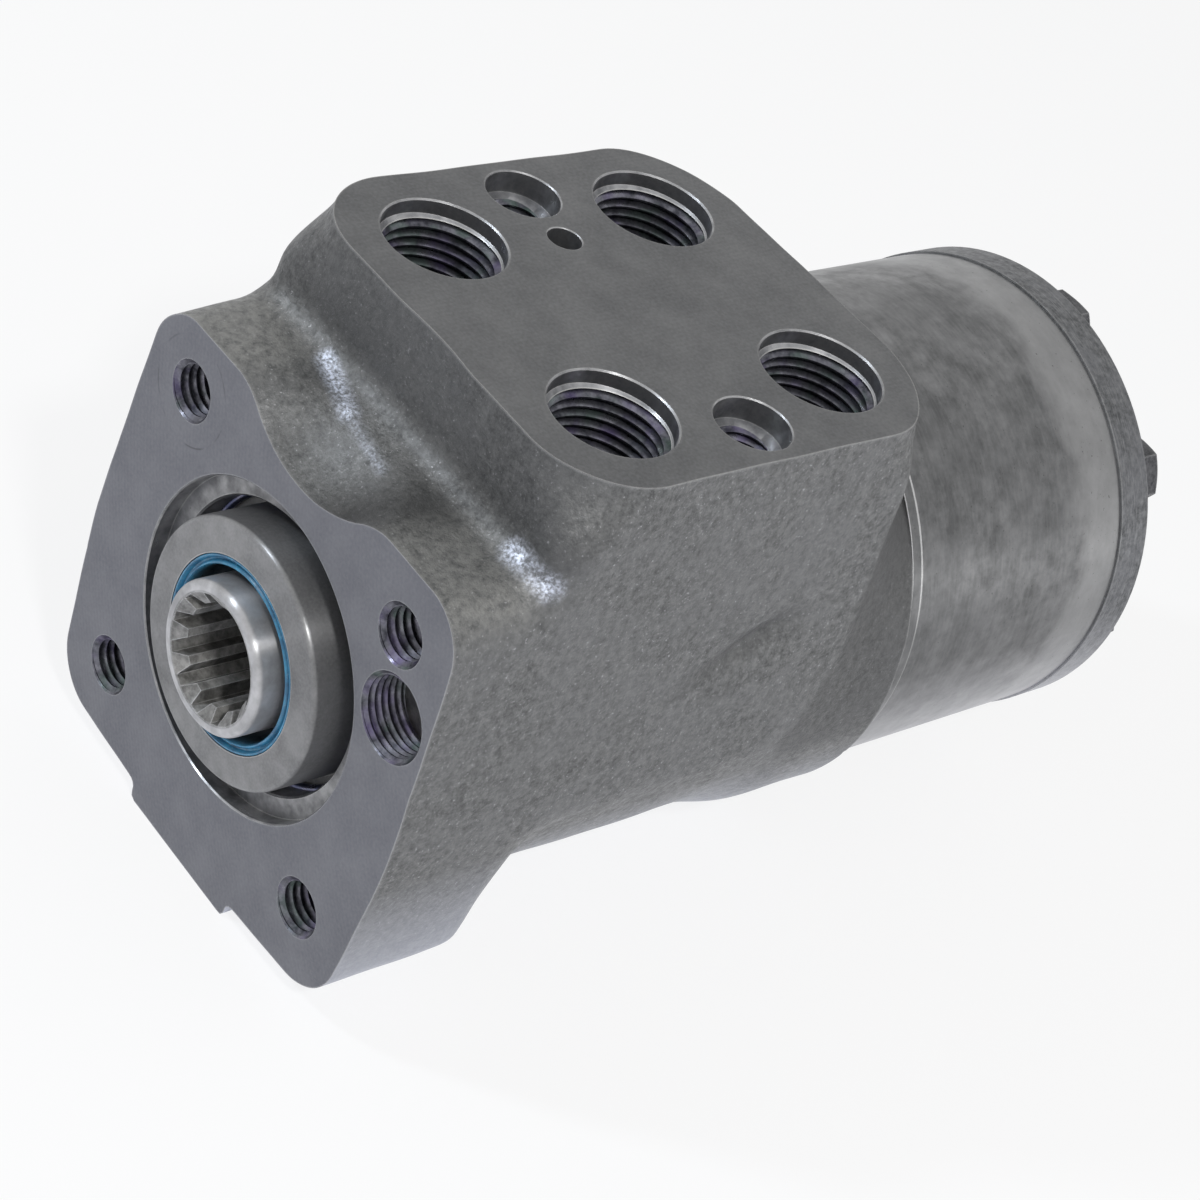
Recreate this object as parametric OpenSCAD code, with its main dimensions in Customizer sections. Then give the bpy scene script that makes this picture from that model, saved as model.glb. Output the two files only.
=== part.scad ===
// Hydrostatic steering valve with a gerotor metering set, built up on its spool axis.
// The origin is the centre of the column mounting face, +Y runs to the rear, +Z to the ports.

/* [Housing] */
// Length of the housing from the column face to its rear face
housing_l = 107; // [105:0.5:110]
// Radius of the round barrel
barrel_r = 43.1; // [42.6:0.1:44]
// Height at which the round barrel turns into the drafted side walls
crease_z = -6; // [-8:0.5:-4]
// Radius of the swollen flange at the rear
flange_r = 44.2; // [43.8:0.1:44.6]
// How far the flange's centre lies below the spool axis
flange_drop = 2.1; // [1.5:0.1:2.5]
// Length of the straight part of the flange
flange_l = 14; // [11:0.5:16]
// Distance of the side walls' rear edge from the rear face of the housing
wall_back = 17.5; // [16:0.5:19]
// Underside of the flat pad below the barrel
pad_z = -46.3; // [-47:0.1:-45]
// Half width of the flat pad
pad_half_w = 14.5; // [12:0.5:17]
// Top of the two upper corner bosses
boss_top_z = 41; // [40:0.5:43]
// Corner radius of the column face
boss_corner_r = 8.5; // [7:0.5:10]
// Half width of the column face at its lower bosses
boss_half_w = 41.3; // [40.5:0.1:42]
// Length of the lower bosses
lower_boss_l = 27; // [24:0.5:30]
// Radius of the scoop between the upper bosses
scoop_r = 26; // [24:0.5:28]
// Lowest point of the scoop on the column face
scoop_z = 33.4; // [32:0.2:35]

/* [Port face] */
// Height of the port face above the spool axis
port_face_z = 58.7; // [57:0.1:61]
// Half width of the port face
port_face_half_w = 39.1; // [38:0.1:40]
// Front edge of the port face
port_face_y0 = 17.2; // [16.5:0.1:19]
// Distance of the port face's rear edge from the rear face of the housing
port_face_back = 10.2; // [8:0.1:11]
// Corner radius of the port face
port_corner_r = 16; // [14:0.5:17]
// Spacing of the ports along and across the housing
port_pitch = 44.45; // [43.5:0.05:45.5]
// Tapping radius of the port threads
port_tap_r = 9.3; // [9:0.05:9.6]
// Radius of the plain mouth of each port
port_mouth_r = 10.45; // [10.2:0.05:10.8]
// Depth of the plain mouth
port_mouth_d = 2.6; // [2:0.1:3.5]
// Depth of the port thread
port_depth = 17; // [15:0.5:18]
// Distance between the two valve block screws
block_screw_pitch = 60.6; // [60:0.1:61.4]
// Tapping radius of the M10 holes
m10_tap_r = 4.25; // [4.2:0.05:4.4]
// Radius of the mouth of the valve block screw holes
block_mouth_r = 6.45; // [6:0.05:6.8]
// Depth of that mouth
block_mouth_d = 4.5; // [3:0.5:6]
// Radius of the pilot hole in the port face
pilot_r = 2.95; // [2.5:0.05:3.2]
// Depth of the M10 holes
m10_depth = 18; // [16:0.5:20]

/* [Column face] */
// Bolt circle of the four column screws
column_pcd = 82.6; // [82:0.1:83.2]
// Radius of the turned recess for the column spigot
recess_r = 27.9; // [27:0.1:28.4]
// Depth of that recess
recess_d = 3.2; // [2.5:0.1:4]
// Radius of the bore that holds the gland ring
gland_bore_r = 24.2; // [24:0.05:24.6]
// Outer radius of the gland ring's nose
gland_nose_r = 22.2; // [21.8:0.1:22.6]
// How far the gland ring stands out of the column face
gland_proud = 3; // [2:0.1:4]
// Rear face of the gland ring
gland_rear_y = 13.9; // [13.5:0.1:14.5]
// Thickness of the gland ring's flange
gland_flange_t = 4.5; // [4:0.1:5]
// Outer radius of the dust seal
dust_seal_r = 16.2; // [15.8:0.1:16.6]

/* [Check valve] */
// Distance of the check valve to the right of the axis
check_x = 33.3; // [32.8:0.1:33.8]
// Height of the check valve above the axis
check_z = 16.2; // [15.5:0.1:16.8]
// Radius of the tapped check valve hole
check_hole_r = 6.95; // [6.6:0.05:7.1]
// Depth at which the threaded bush starts
check_bush_y = 8; // [7:0.5:9]
// Length of the threaded bush
check_bush_l = 8; // [7:0.5:9]
// Radius of the check ball
check_ball_r = 4.25; // [4:0.05:4.4]
// Travel of the check ball
check_travel = 1.5; // [1:0.1:2]

/* [Spool and sleeve] */
// Radius of the spool's front journal
journal_r = 12.7; // [12.5:0.05:12.9]
// How far the spool stands out of the column face
spool_proud = 6.5; // [5.5:0.1:8]
// Radius of the spool in the sleeve
spool_r = 18; // [17.5:0.1:18.4]
// Bore of the spool behind its input spline
spool_bore_r = 12.6; // [12.4:0.1:13]
// Outer radius of the sleeve
sleeve_r = 22.5; // [22.2:0.1:22.8]
// Radius of the sleeve's turned-down front end
sleeve_neck_r = 20.5; // [20.3:0.1:20.7]
// Distance of the cross pin from the column face
pin_y = 62; // [60:0.5:64]
// Radius of the cross pin
pin_r = 4; // [3.8:0.05:4.2]
// Turn of the spool against the sleeve, each way, in degrees
valve_turn = 11; // [9:0.5:12]
// Length of the input spline
spline_l = 25; // [22:0.5:26]
// Teeth of the input spline
spline_teeth = 12; // [12:1:12]
// Inner radius of the input spline
spline_minor_r = 8.65; // [8.5:0.05:8.8]
// Outer radius of the input spline
spline_major_r = 10.6; // [10.4:0.05:10.8]
// Width of the leaf springs along the spool
leaf_w = 6.4; // [6:0.1:6.8]
// Thickness of one leaf spring
leaf_t = 0.65; // [0.55:0.05:0.7]
// Diameter of the thrust needles
needle_d = 1.9; // [1.8:0.05:2]
// Number of thrust needles
needle_count = 18; // [12:1:20]
// Thickness of the bearing races
race_t = 1; // [0.9:0.05:1.1]

/* [Metering set] */
// Thickness of the distributor plate
plate_t = 2.4; // [2:0.1:3]
// Length of the gear ring
ring_l = 53.5; // [52:0.5:56]
// Outer radius of the gear ring and the plate
ring_r = 43.5; // [43.2:0.1:44]
// Thickness of the end cover
cover_t = 8.3; // [7.5:0.1:9]
// Outer radius of the end cover
cover_r = 43.9; // [43.4:0.1:44.4]
// Lobes of the gear ring
lobes = 7; // [7:1:7]
// Radius of the circle of lobes and of cover screws
lobe_circle_r = 34; // [33.8:0.1:34.2]
// Radius of each lobe
lobe_r = 8.5; // [8.3:0.1:8.7]
// Orbit radius of the rotor
orbit_r = 3.5; // [3.4:0.05:3.6]
// Outer radius of the spline in the rotor
rotor_spline_r = 12.6; // [12.4:0.1:12.8]
// Inner radius of the spline in the rotor
rotor_minor_r = 10.6; // [10.5:0.05:10.8]
// Radius of the drive shaft between its ends
shaft_r = 8.5; // [8:0.1:8.8]
// Radius of the M8 cover screws
screw_r = 4; // [3.9:0.05:4.05]
// Width across the flats of the screw heads
head_af = 13; // [12.8:0.1:13.2]
// Height of the screw heads
head_h = 5.5; // [5:0.1:6]
// Thickness of the washers
washer_t = 1.5; // [1.2:0.1:1.6]
// Length of the cover screws below the head
screw_l = 80; // [78:1:82]

/* [Fits] */
// Radial running clearance of spool, sleeve and housing
run_c = 0.04; // [0.03:0.01:0.06]
// Clearance between pieces that are only fitted together
fit_c = 0.05; // [0.04:0.01:0.08]
// Clearance between the rotor and the lobes
gear_c = 0.07; // [0.06:0.01:0.1]
// Axial play of the turning pieces
play = 0.06; // [0.05:0.01:0.1]
// Radial clearance at the seal lips and around the journal
lip_c = 0.1; // [0.08:0.01:0.15]

/* [Hidden] */
$fn = 96;

// Places along the housing
flange_y = housing_l - flange_l;
wall_end_y = housing_l - wall_back;
port_face_y1 = housing_l - port_face_back;
port_mid_y = (port_face_y0 + port_face_y1) / 2;

// Places along the spool axis
dust_groove_y = 2.8;
shaft_groove_y = 5.4;
shaft_groove_w = 3;
outer_race_y = gland_rear_y;
needle_y = outer_race_y + race_t + play + needle_d / 2;
inner_race_y = needle_y + needle_d / 2 + play;
sleeve_y0 = inner_race_y + race_t;
sleeve_y1 = housing_l - 0.1;
spool_y0 = sleeve_y0 + 0.6;
spool_y1 = housing_l - 0.5;
gland_bore_end = sleeve_y0 + 0.3;
spline_y1 = spline_l - spool_proud;
spring_y = sleeve_y0 + 6;
plate_y = housing_l;
ring_y = plate_y + plate_t;
cover_y = ring_y + ring_l;
head_y = cover_y + cover_t + washer_t;
rotor_mid_y = ring_y + 14.5;
retain_y = gland_rear_y - gland_flange_t - 0.95;
check_chamber_y = check_bush_y + check_bush_l + 0.5;
check_seat_y = check_chamber_y + 2 * check_ball_r + check_travel + 0.1;
timing_y = housing_l - 11;
shaft_tilt = atan(orbit_r / (rotor_mid_y - pin_y));
shaft_reach = (rotor_mid_y - pin_y) / cos(shaft_tilt);
head_half_l = 9;
head_nose = 2;

// Side wall of the housing at a height
crease_x = sqrt(barrel_r * barrel_r - crease_z * crease_z) + 0.8;
function side_x(z) = crease_x - (crease_x - port_face_half_w) * (z - crease_z) / (port_face_z - crease_z);

// Angles of the lobes and of the passages between them, seen from the front
lobe_step = 360 / lobes;
function lobe_angle(i) = 90 + i * lobe_step;
function passage_angle(i) = 90 + (i + 0.5) * lobe_step;
passage_r = 29;
passage_hole_r = 2.2;
oring_r = 40.6;
oring_cord_r = 0.9;
seal_groove_w = 2.4;
seal_groove_d = 1.35;

// Grooves round the sleeve that feed the four ports
groove_r = sleeve_r + 3;
groove_w = 5;
feed_shift = 4;
feed_r = 3.2;
port_ys = [port_mid_y - port_pitch / 2, port_mid_y + port_pitch / 2];

// A flat shape drawn in X and Z, made solid from y0 to y1
module slab(y0, y1) {
    translate([0, y1, 0]) rotate([90, 0, 0]) linear_extrude(y1 - y0) children();
}

// A round bar along Y
module bar(x, z, r, y0, y1) {
    translate([x, y0, z]) rotate([-90, 0, 0]) cylinder(r = r, h = y1 - y0);
}

// A shape turned about the spool axis, drawn as radius and place along Y
module turned() {
    rotate([-90, 0, 0]) rotate_extrude($fn = 144) children();
}

// A hole drilled towards the spool axis at an angle
module radial_hole(angle, y, r, r0, r1) {
    rotate([0, angle, 0]) translate([r0, y, 0]) rotate([0, 90, 0]) cylinder(r = r, h = r1 - r0, $fn = 24);
}

// A plain ring about the spool axis
module ring(r0, r1, y0, y1) {
    turned() translate([r0, y0]) square([r1 - r0, y1 - y0]);
}

// An elastic ring pressed flat into its groove
module oring(r, y, cord, squash = 0.72) {
    turned() polygon([for (i = [0:15]) [r + cord * cos(i * 22.5), y + squash * cord * sin(i * 22.5)]]);
}

// Points of an arc
function arc(cx, cz, r, a0, a1, n = 8) =
    [for (i = [0:n]) [cx + r * cos(a0 + (a1 - a0) * i / n), cz + r * sin(a0 + (a1 - a0) * i / n)]];

// Round barrel of the housing, lower at the front to leave the upper bosses free
module barrel() {
    difference() {
        ring(0, barrel_r, 0, flange_y);
        translate([-barrel_r - 1, -1, 10]) cube([2 * barrel_r + 2, port_face_y0 + 9, barrel_r]);
    }
}

// Swollen rear flange, a little lower than the barrel and smooth at its foot
module flange() {
    foot_r = barrel_r - flange_drop;
    foot_y = flange_y - 19;
    steps = 5;
    translate([0, 0, -flange_drop]) turned() polygon(concat([[0, foot_y]],
        [for (i = [0:steps]) [foot_r + (flange_r - foot_r) * (1 - cos(i * 180 / steps)) / 2,
            foot_y + (flange_y - foot_y) * i / steps]],
        [[flange_r, housing_l], [0, housing_l]]));
}

wall_edge_r = 2.5;
wall_edge_top = 44;

// Upright rear edge of both side walls at one height
module wall_edge(z, forward = 0) {
    for (s = [-1, 1]) translate([s * (side_x(z) - wall_edge_r), wall_end_y - forward - wall_edge_r, z])
        cylinder(r = wall_edge_r, h = 0.5, $fn = 16);
}

// Drafted side walls from the crease up to the round top edges of the upper bosses
module side_walls() {
    top_z = boss_top_z - boss_corner_r;
    hull() {
        for (s = [-1, 1]) {
            bar(s * (side_x(top_z) - boss_corner_r), top_z, boss_corner_r, 0, port_face_y1 - 30, $fn = 32);
            translate([s * (crease_x - 0.5) - 0.5, 0, crease_z]) cube([1, port_face_y1 - 30, 0.5]);
            translate([s * (crease_x - 3) - 0.5, 0, crease_z - 6]) cube([1, port_face_y1 - 30, 0.5]);
        }
        wall_edge(top_z);
        wall_edge(12);
        wall_edge(crease_z + 2, 6.5);
    }
}

// Rear end of the walls and the port block, which falls away to the round rim of the flange
module tail() {
    hull() {
        for (s = [-1, 1])
            translate([s * (port_face_half_w - port_corner_r), port_face_y1 - port_corner_r, port_face_z - 0.5])
                cylinder(r = port_corner_r, h = 0.5, $fn = 48);
        wall_edge(wall_edge_top);
        wall_edge(12);
        wall_edge(crease_z + 2, 6.5);
        bar(0, -flange_drop, flange_r, housing_l - 0.5, housing_l, $fn = 72);
    }
}

// The port block: drafted walls, round top corners, sharper towards its foot
module port_block() {
    inset = 0.15;
    front_r = 5;
    foot_z = boss_top_z - 7;
    front_y = port_face_y0 - 1.5;
    top_x = port_face_half_w - port_corner_r;
    hull() for (s = [-1, 1]) {
        for (y = [port_face_y0 + port_corner_r, port_face_y1 - port_corner_r])
            translate([s * top_x, y, port_face_z - 0.5]) cylinder(r = port_corner_r, h = 0.5, $fn = 48);
        translate([s * (side_x(foot_z) - inset - front_r), front_y + front_r, foot_z])
            cylinder(r = front_r, h = 0.5, $fn = 32);
        wall_edge(wall_edge_top);
        wall_edge(20);
    }
}

// One lower corner boss, with its rear end rounded off
module lower_boss() {
    boss_x = boss_half_w - boss_corner_r;
    boss_z = boss_corner_r - 41.7;
    hull() {
        for (p = [[boss_x, boss_z], [pad_half_w + 4, boss_z - 0.6]]) {
            bar(p[0], p[1], boss_corner_r, 0, lower_boss_l - 4, $fn = 32);
            bar(p[0], p[1], boss_corner_r - 3.5, 0, lower_boss_l, $fn = 32);
        }
        bar(crease_x - 3.6, crease_z - 3, 3, 0, lower_boss_l + 6, $fn = 24);
    }
}

// Concave run from the tops of the upper bosses into the front wall of the port block
module front_fillet() {
    x = side_x(boss_top_z) - 5;
    wall_y = port_face_y0 - 1;
    r = 6;
    translate([-x, 0, 0]) rotate([90, 0, 90]) linear_extrude(2 * x) polygon(concat(
        [[wall_y + 1, boss_top_z - 2], [wall_y + 1, boss_top_z + r]],
        [for (a = [185:17:270]) [wall_y - r + 0.3 - r * cos(a), boss_top_z + r + r * sin(a) - 0.1]],
        [[wall_y - r, boss_top_z - 2]]));
}

// Everything that the foundry pours
module casting() {
    barrel();
    flange();
    side_walls();
    tail();
    port_block();
    front_fillet();
    for (s = [0, 1]) mirror([s, 0, 0]) lower_boss();
    slab(0, flange_y - 13) translate([-pad_half_w, pad_z]) square([2 * pad_half_w, -pad_z - 30]);
}

// One port: plain mouth, thread and the drilling down to its groove
module port_cut(x, y, shift) {
    translate([x, y, 0]) {
        translate([0, 0, port_face_z - port_mouth_d]) cylinder(r = port_mouth_r, h = port_mouth_d + 1);
        translate([0, 0, port_face_z - port_depth]) cylinder(r = port_tap_r, h = port_depth);
        translate([0, shift, 6]) cylinder(r = feed_r, h = port_face_z - port_depth - 5, $fn = 48);
    }
}

// Stepped bore for the gland ring, the bearing and the sleeve, with the grooves that feed the ports
module main_bore() {
    r = sleeve_r + run_c;
    ys = [for (y = port_ys, s = [-1, 1]) y + s * feed_shift];
    turned() polygon(concat(
        [[0, -1], [recess_r, -1], [recess_r, recess_d], [gland_bore_r, recess_d],
         [gland_bore_r, retain_y - 1], [gland_bore_r + 1.1, retain_y - 1],
         [gland_bore_r + 1.1, retain_y + 1], [gland_bore_r, retain_y + 1],
         [gland_bore_r, gland_bore_end], [r, gland_bore_end]],
        [for (y = ys) each [[r, y - groove_w / 2], [groove_r, y - groove_w / 2],
            [groove_r, y + groove_w / 2], [r, y + groove_w / 2]]],
        [[r, housing_l + 1], [0, housing_l + 1]]));
}

// Everything that is machined into the casting
module machining() {
    main_bore();
    // Four tapped holes for the column
    for (a = [45:90:315]) {
        bar(column_pcd / 2 * cos(a), column_pcd / 2 * sin(a), m10_tap_r, -1, m10_depth);
    }
    // Check valve: tapped hole, ball chamber and the passage behind the seat
    bar(check_x, check_z, check_hole_r, -1, check_chamber_y);
    bar(check_x, check_z, check_ball_r + 0.35, check_chamber_y - 1, check_seat_y);
    bar(check_x, check_z, 3, check_seat_y - 1, check_seat_y + 9);
    // Ports and their drillings down to the grooves
    for (y = port_ys, s = [-1, 1]) port_cut(s * port_pitch / 2, y, s * feed_shift);
    // Two tapped holes for a valve block, and the pilot hole
    for (s = [-1, 1]) {
        translate([s * block_screw_pitch / 2, port_mid_y, port_face_z]) {
            translate([0, 0, -block_mouth_d]) cylinder(r = block_mouth_r, h = block_mouth_d + 1);
            translate([0, 0, -m10_depth]) cylinder(r = m10_tap_r, h = m10_depth);
        }
    }
    translate([-18, port_mid_y - 0.6, port_face_z - 8]) cylinder(r = pilot_r, h = 9, $fn = 48);
    // Tapped holes and passages behind the distributor plate
    for (i = [0:lobes - 1]) {
        a = lobe_angle(i);
        bar(lobe_circle_r * cos(a), lobe_circle_r * sin(a), screw_r + fit_c, head_y - screw_l - 2, housing_l + 1);
        b = passage_angle(i);
        bar(passage_r * cos(b), passage_r * sin(b), passage_hole_r, housing_l - 13, housing_l + 1, $fn = 32);
    }
    // Seal groove in the rear face
    ring(oring_r - seal_groove_w / 2, oring_r + seal_groove_w / 2, housing_l - seal_groove_d, housing_l + 1);
}

module scoop() {
    front_r = sqrt(scoop_r * scoop_r - 81);
    translate([0, -9, scoop_z + front_r]) sphere(r = scoop_r, $fn = 96);
}

module housing() {
    color([0.47, 0.47, 0.48]) difference() {
        casting();
        scoop();
        machining();
    }
}

module gland_ring() {
    flange_y = gland_rear_y - gland_flange_t;
    flange_r0 = gland_bore_r - fit_c;
    groove_y = gland_rear_y - gland_flange_t / 2;
    edge = 0.8;
    color([0.72, 0.72, 0.74]) difference() {
        turned() polygon(concat(
            [[journal_r + 0.3, -gland_proud]],
            arc(gland_nose_r - edge, edge - gland_proud, edge, -90, 0, 5),
            [[gland_nose_r, flange_y], [flange_r0, flange_y], [flange_r0, gland_rear_y],
            [journal_r + 0.3, gland_rear_y]]));
        ring(0, dust_seal_r + fit_c, -gland_proud - 1, dust_groove_y);
        ring(0, dust_seal_r, shaft_groove_y, shaft_groove_y + shaft_groove_w);
        ring(gland_bore_r - 1.4, gland_bore_r + 1, groove_y - 1.1, groove_y + 1.1);
    }
}

module dust_seal() {
    lip_r = journal_r + lip_c;
    lip_y = 0.9 - gland_proud;
    back_y = dust_groove_y - 0.1;
    color([0.05, 0.33, 0.52]) turned() polygon([
        [lip_r, lip_y + 0.9], [lip_r + 0.5, lip_y], [lip_r + 1.1, lip_y + 0.9], [lip_r + 1.5, lip_y + 2.3],
        [dust_seal_r - 1, lip_y + 0.5], [dust_seal_r - 0.4, lip_y + 0.1], [dust_seal_r, lip_y + 0.4],
        [dust_seal_r, back_y - 0.1], [dust_seal_r - 0.4, back_y], [lip_r + 1.1, back_y],
        [lip_r + 0.6, back_y - 1.5], [lip_r, back_y - 2.3]]);
}

module shaft_seal() {
    lip_r = journal_r + lip_c;
    y0 = shaft_groove_y + 0.1;
    y1 = shaft_groove_y + shaft_groove_w - 0.1;
    color([0.62, 0.58, 0.45]) turned() polygon([[lip_r, y0 + 0.6], [lip_r + 0.3, y0], [lip_r + 1.4, y0],
        [lip_r + 1.4, y1], [lip_r + 0.3, y1], [lip_r, y1 - 0.6]]);
}

module seal_energiser() {
    r0 = journal_r + lip_c + 1.45;
    cord = (dust_seal_r - 0.05 - r0) / 2;
    color([0.08, 0.08, 0.09]) oring(r0 + cord, shaft_groove_y + shaft_groove_w / 2, cord, 1);
}

module gland_oring() {
    color([0.08, 0.08, 0.09])
        oring(gland_bore_r - 0.75, gland_rear_y - gland_flange_t / 2, 0.62, 1.3);
}

module retaining_ring() {
    wire_r = 0.9;
    color([0.55, 0.56, 0.6]) difference() {
        turned() translate([gland_bore_r + 0.1, retain_y]) circle(r = wire_r, $fn = 24);
        rotate([0, 135, 0]) translate([0, retain_y - 2, 0]) rotate([-90, 0, 0])
            linear_extrude(4) polygon([[0, 0], [40, -7], [40, 7]]);
    }
}

module outer_race() {
    color([0.66, 0.66, 0.68]) ring(race_r0, gland_bore_r - 0.25, outer_race_y, outer_race_y + race_t);
}

race_r0 = journal_r + 2.3;
cage_r0 = race_r0 + 0.5;
cage_r1 = sleeve_r + 0.8;

// One shape repeated round the bearing
module round_bearing() {
    for (i = [0:needle_count - 1]) rotate([0, i * 360 / needle_count, 0]) children();
}

module needle_cage() {
    cage_t = 1.3;
    pocket_l = cage_r1 - cage_r0 - 2;
    color([0.62, 0.55, 0.35]) difference() {
        ring(cage_r0, cage_r1, needle_y - cage_t / 2, needle_y + cage_t / 2);
        round_bearing() translate([cage_r0 + 1, needle_y - 2, -needle_d / 2 - 0.05])
            cube([pocket_l, 4, needle_d + 0.1]);
    }
}

module thrust_needles() {
    needle_l = cage_r1 - cage_r0 - 2.2;
    color([0.78, 0.78, 0.8]) round_bearing() translate([cage_r0 + 1.1, needle_y, 0])
        rotate([0, 90, 0]) cylinder(d = needle_d, h = needle_l, $fn = 24);
}

module inner_race() {
    color([0.66, 0.66, 0.68]) ring(race_r0, gland_bore_r - 0.4, inner_race_y, inner_race_y + race_t);
}

// Straight-sided spaces between the teeth of an inner spline
module spline_spaces(r0, r1, w0, w1) {
    circle(r = r0);
    for (i = [0:spline_teeth - 1]) rotate(i * 360 / spline_teeth)
        polygon([[r0 - 1, -w0 / 2], [r1, -w1 / 2], [r1, w1 / 2], [r0 - 1, w0 / 2]]);
}

spring_slot_w = 6 * leaf_t + 2.3;
spring_slot_l = leaf_w + 0.4;

// Window through both walls for the leaf springs
module spring_window(r) {
    translate([-spring_slot_w / 2, spring_y - spring_slot_l / 2, -r - 1])
        cube([spring_slot_w, spring_slot_l, 2 * r + 2]);
}

module spool() {
    pin_play = spool_r * tan(valve_turn) + 0.2;
    slot_lead = feed_shift + 1;
    edge = 1;
    color([0.68, 0.68, 0.7]) difference() {
        turned() polygon(concat(
            [[0, -spool_proud]],
            arc(journal_r - edge, edge - spool_proud, edge, -90, 0, 5),
            [[journal_r, spool_y0], [spool_r, spool_y0], [spool_r, spool_y1], [0, spool_y1]]));
        slab(-spool_proud - 1, spline_y1) spline_spaces(spline_minor_r, spline_major_r, 3.5, 1.9);
        turned() polygon([[0, -spool_proud - 1], [spline_major_r + 1.3, -spool_proud - 1],
            [spline_minor_r - 0.5, 2.2 - spool_proud], [0, 2.2 - spool_proud]]);
        ring(0, spool_bore_r, spline_y1 - 0.1, spool_y1 + 1);
        spring_window(spool_r);
        translate([-spool_r - 1, pin_y, 0]) rotate([0, 90, 0])
            cylinder(r = pin_r + pin_play, h = 2 * spool_r + 2);
        // Metering slots in the outer wall
        for (i = [0:5]) rotate([0, i * 60, 0]) {
            translate([spool_r - 1.2, port_ys[0] - slot_lead, -1.3]) cube([2, 16, 2.6]);
            translate([spool_r - 1.2, port_ys[1] - slot_lead, -1.3])
                cube([2, timing_y - port_ys[1] + slot_lead, 2.6]);
        }
        // Radial holes between spool bore and slots
        for (i = [0:5]) radial_hole(30 + i * 60, port_ys[0] + feed_shift, 1.6, spool_bore_r - 1, spool_r + 1);
    }
}

module sleeve() {
    neck_y = spring_y + spring_slot_l / 2 + 2;
    color([0.6, 0.6, 0.62]) difference() {
        turned() polygon([[spool_r + run_c, sleeve_y0], [sleeve_neck_r, sleeve_y0], [sleeve_neck_r, neck_y],
            [sleeve_r, neck_y], [sleeve_r, sleeve_y1], [spool_r + run_c, sleeve_y1]]);
        spring_window(sleeve_r);
        translate([-sleeve_r - 1, pin_y, 0]) rotate([0, 90, 0])
            cylinder(r = pin_r + fit_c / 2, h = 2 * sleeve_r + 2);
        // Rows of holes under the four port grooves
        for (y = port_ys, s = [-1, 1], i = [0:5])
            radial_hole(30 + i * 60, y + s * feed_shift, 2, spool_r - 1, sleeve_r + 1);
        // Row of twelve holes that time the metering set
        for (i = [0:11]) radial_hole(15 + i * 30, timing_y, 1.6, spool_r - 1, sleeve_r + 1);
    }
}

module spring_ring() {
    ring_r1 = sleeve_r - 0.1;
    color([0.55, 0.55, 0.57])
        ring(sleeve_neck_r + fit_c, ring_r1, spring_y - spring_slot_l / 2 - 0.8, spring_y + spring_slot_l / 2 + 1);
}

leaf_half_l = sleeve_neck_r - 0.4;

// One leaf, bowed from bow0 at its middle to bow1 at its ends
module leaf(bow0, bow1) {
    steps = 12;
    function x(z) = bow0 + (bow1 - bow0) * pow(z / leaf_half_l, 2);
    zs = [for (i = [-steps:steps]) i * leaf_half_l / steps];
    slab(spring_y - leaf_w / 2, spring_y + leaf_w / 2) polygon(concat(
        [for (z = zs) [x(z), z]],
        [for (i = [len(zs) - 1:-1:0]) [x(zs[i]) + leaf_t, zs[i]]]));
}

module curved_springs() {
    color([0.35, 0.38, 0.5]) for (s = [0, 1]) mirror([s, 0, 0]) leaf(0.05, 1.05);
}

module flat_springs() {
    color([0.35, 0.38, 0.5]) for (s = [0, 1], k = [0, 1]) mirror([s, 0, 0])
        translate([1.75 + k * (leaf_t + 0.02), 0, 0]) leaf(0, 0);
}

module cross_pin() {
    pin_l = 2 * sleeve_r - 0.8;
    color([0.7, 0.7, 0.72]) translate([-pin_l / 2, pin_y, 0]) rotate([0, 90, 0])
        cylinder(r = pin_r, h = pin_l, $fn = 48);
}

// Straight crowned tooth of the drive shaft, drawn at the end of its arm
module crowned_tooth(r0, r1, half_t, crown_r, half_l) {
    intersection() {
        intersection_for(s = [-1, 1]) translate([0, 0, s * (crown_r - half_t)]) rotate([0, 90, 0])
            cylinder(r = crown_r, h = r1, $fn = 180);
        translate([r0, -half_l, -half_t]) cube([r1 - r0, 2 * half_l, 2 * half_t]);
    }
}

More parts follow.
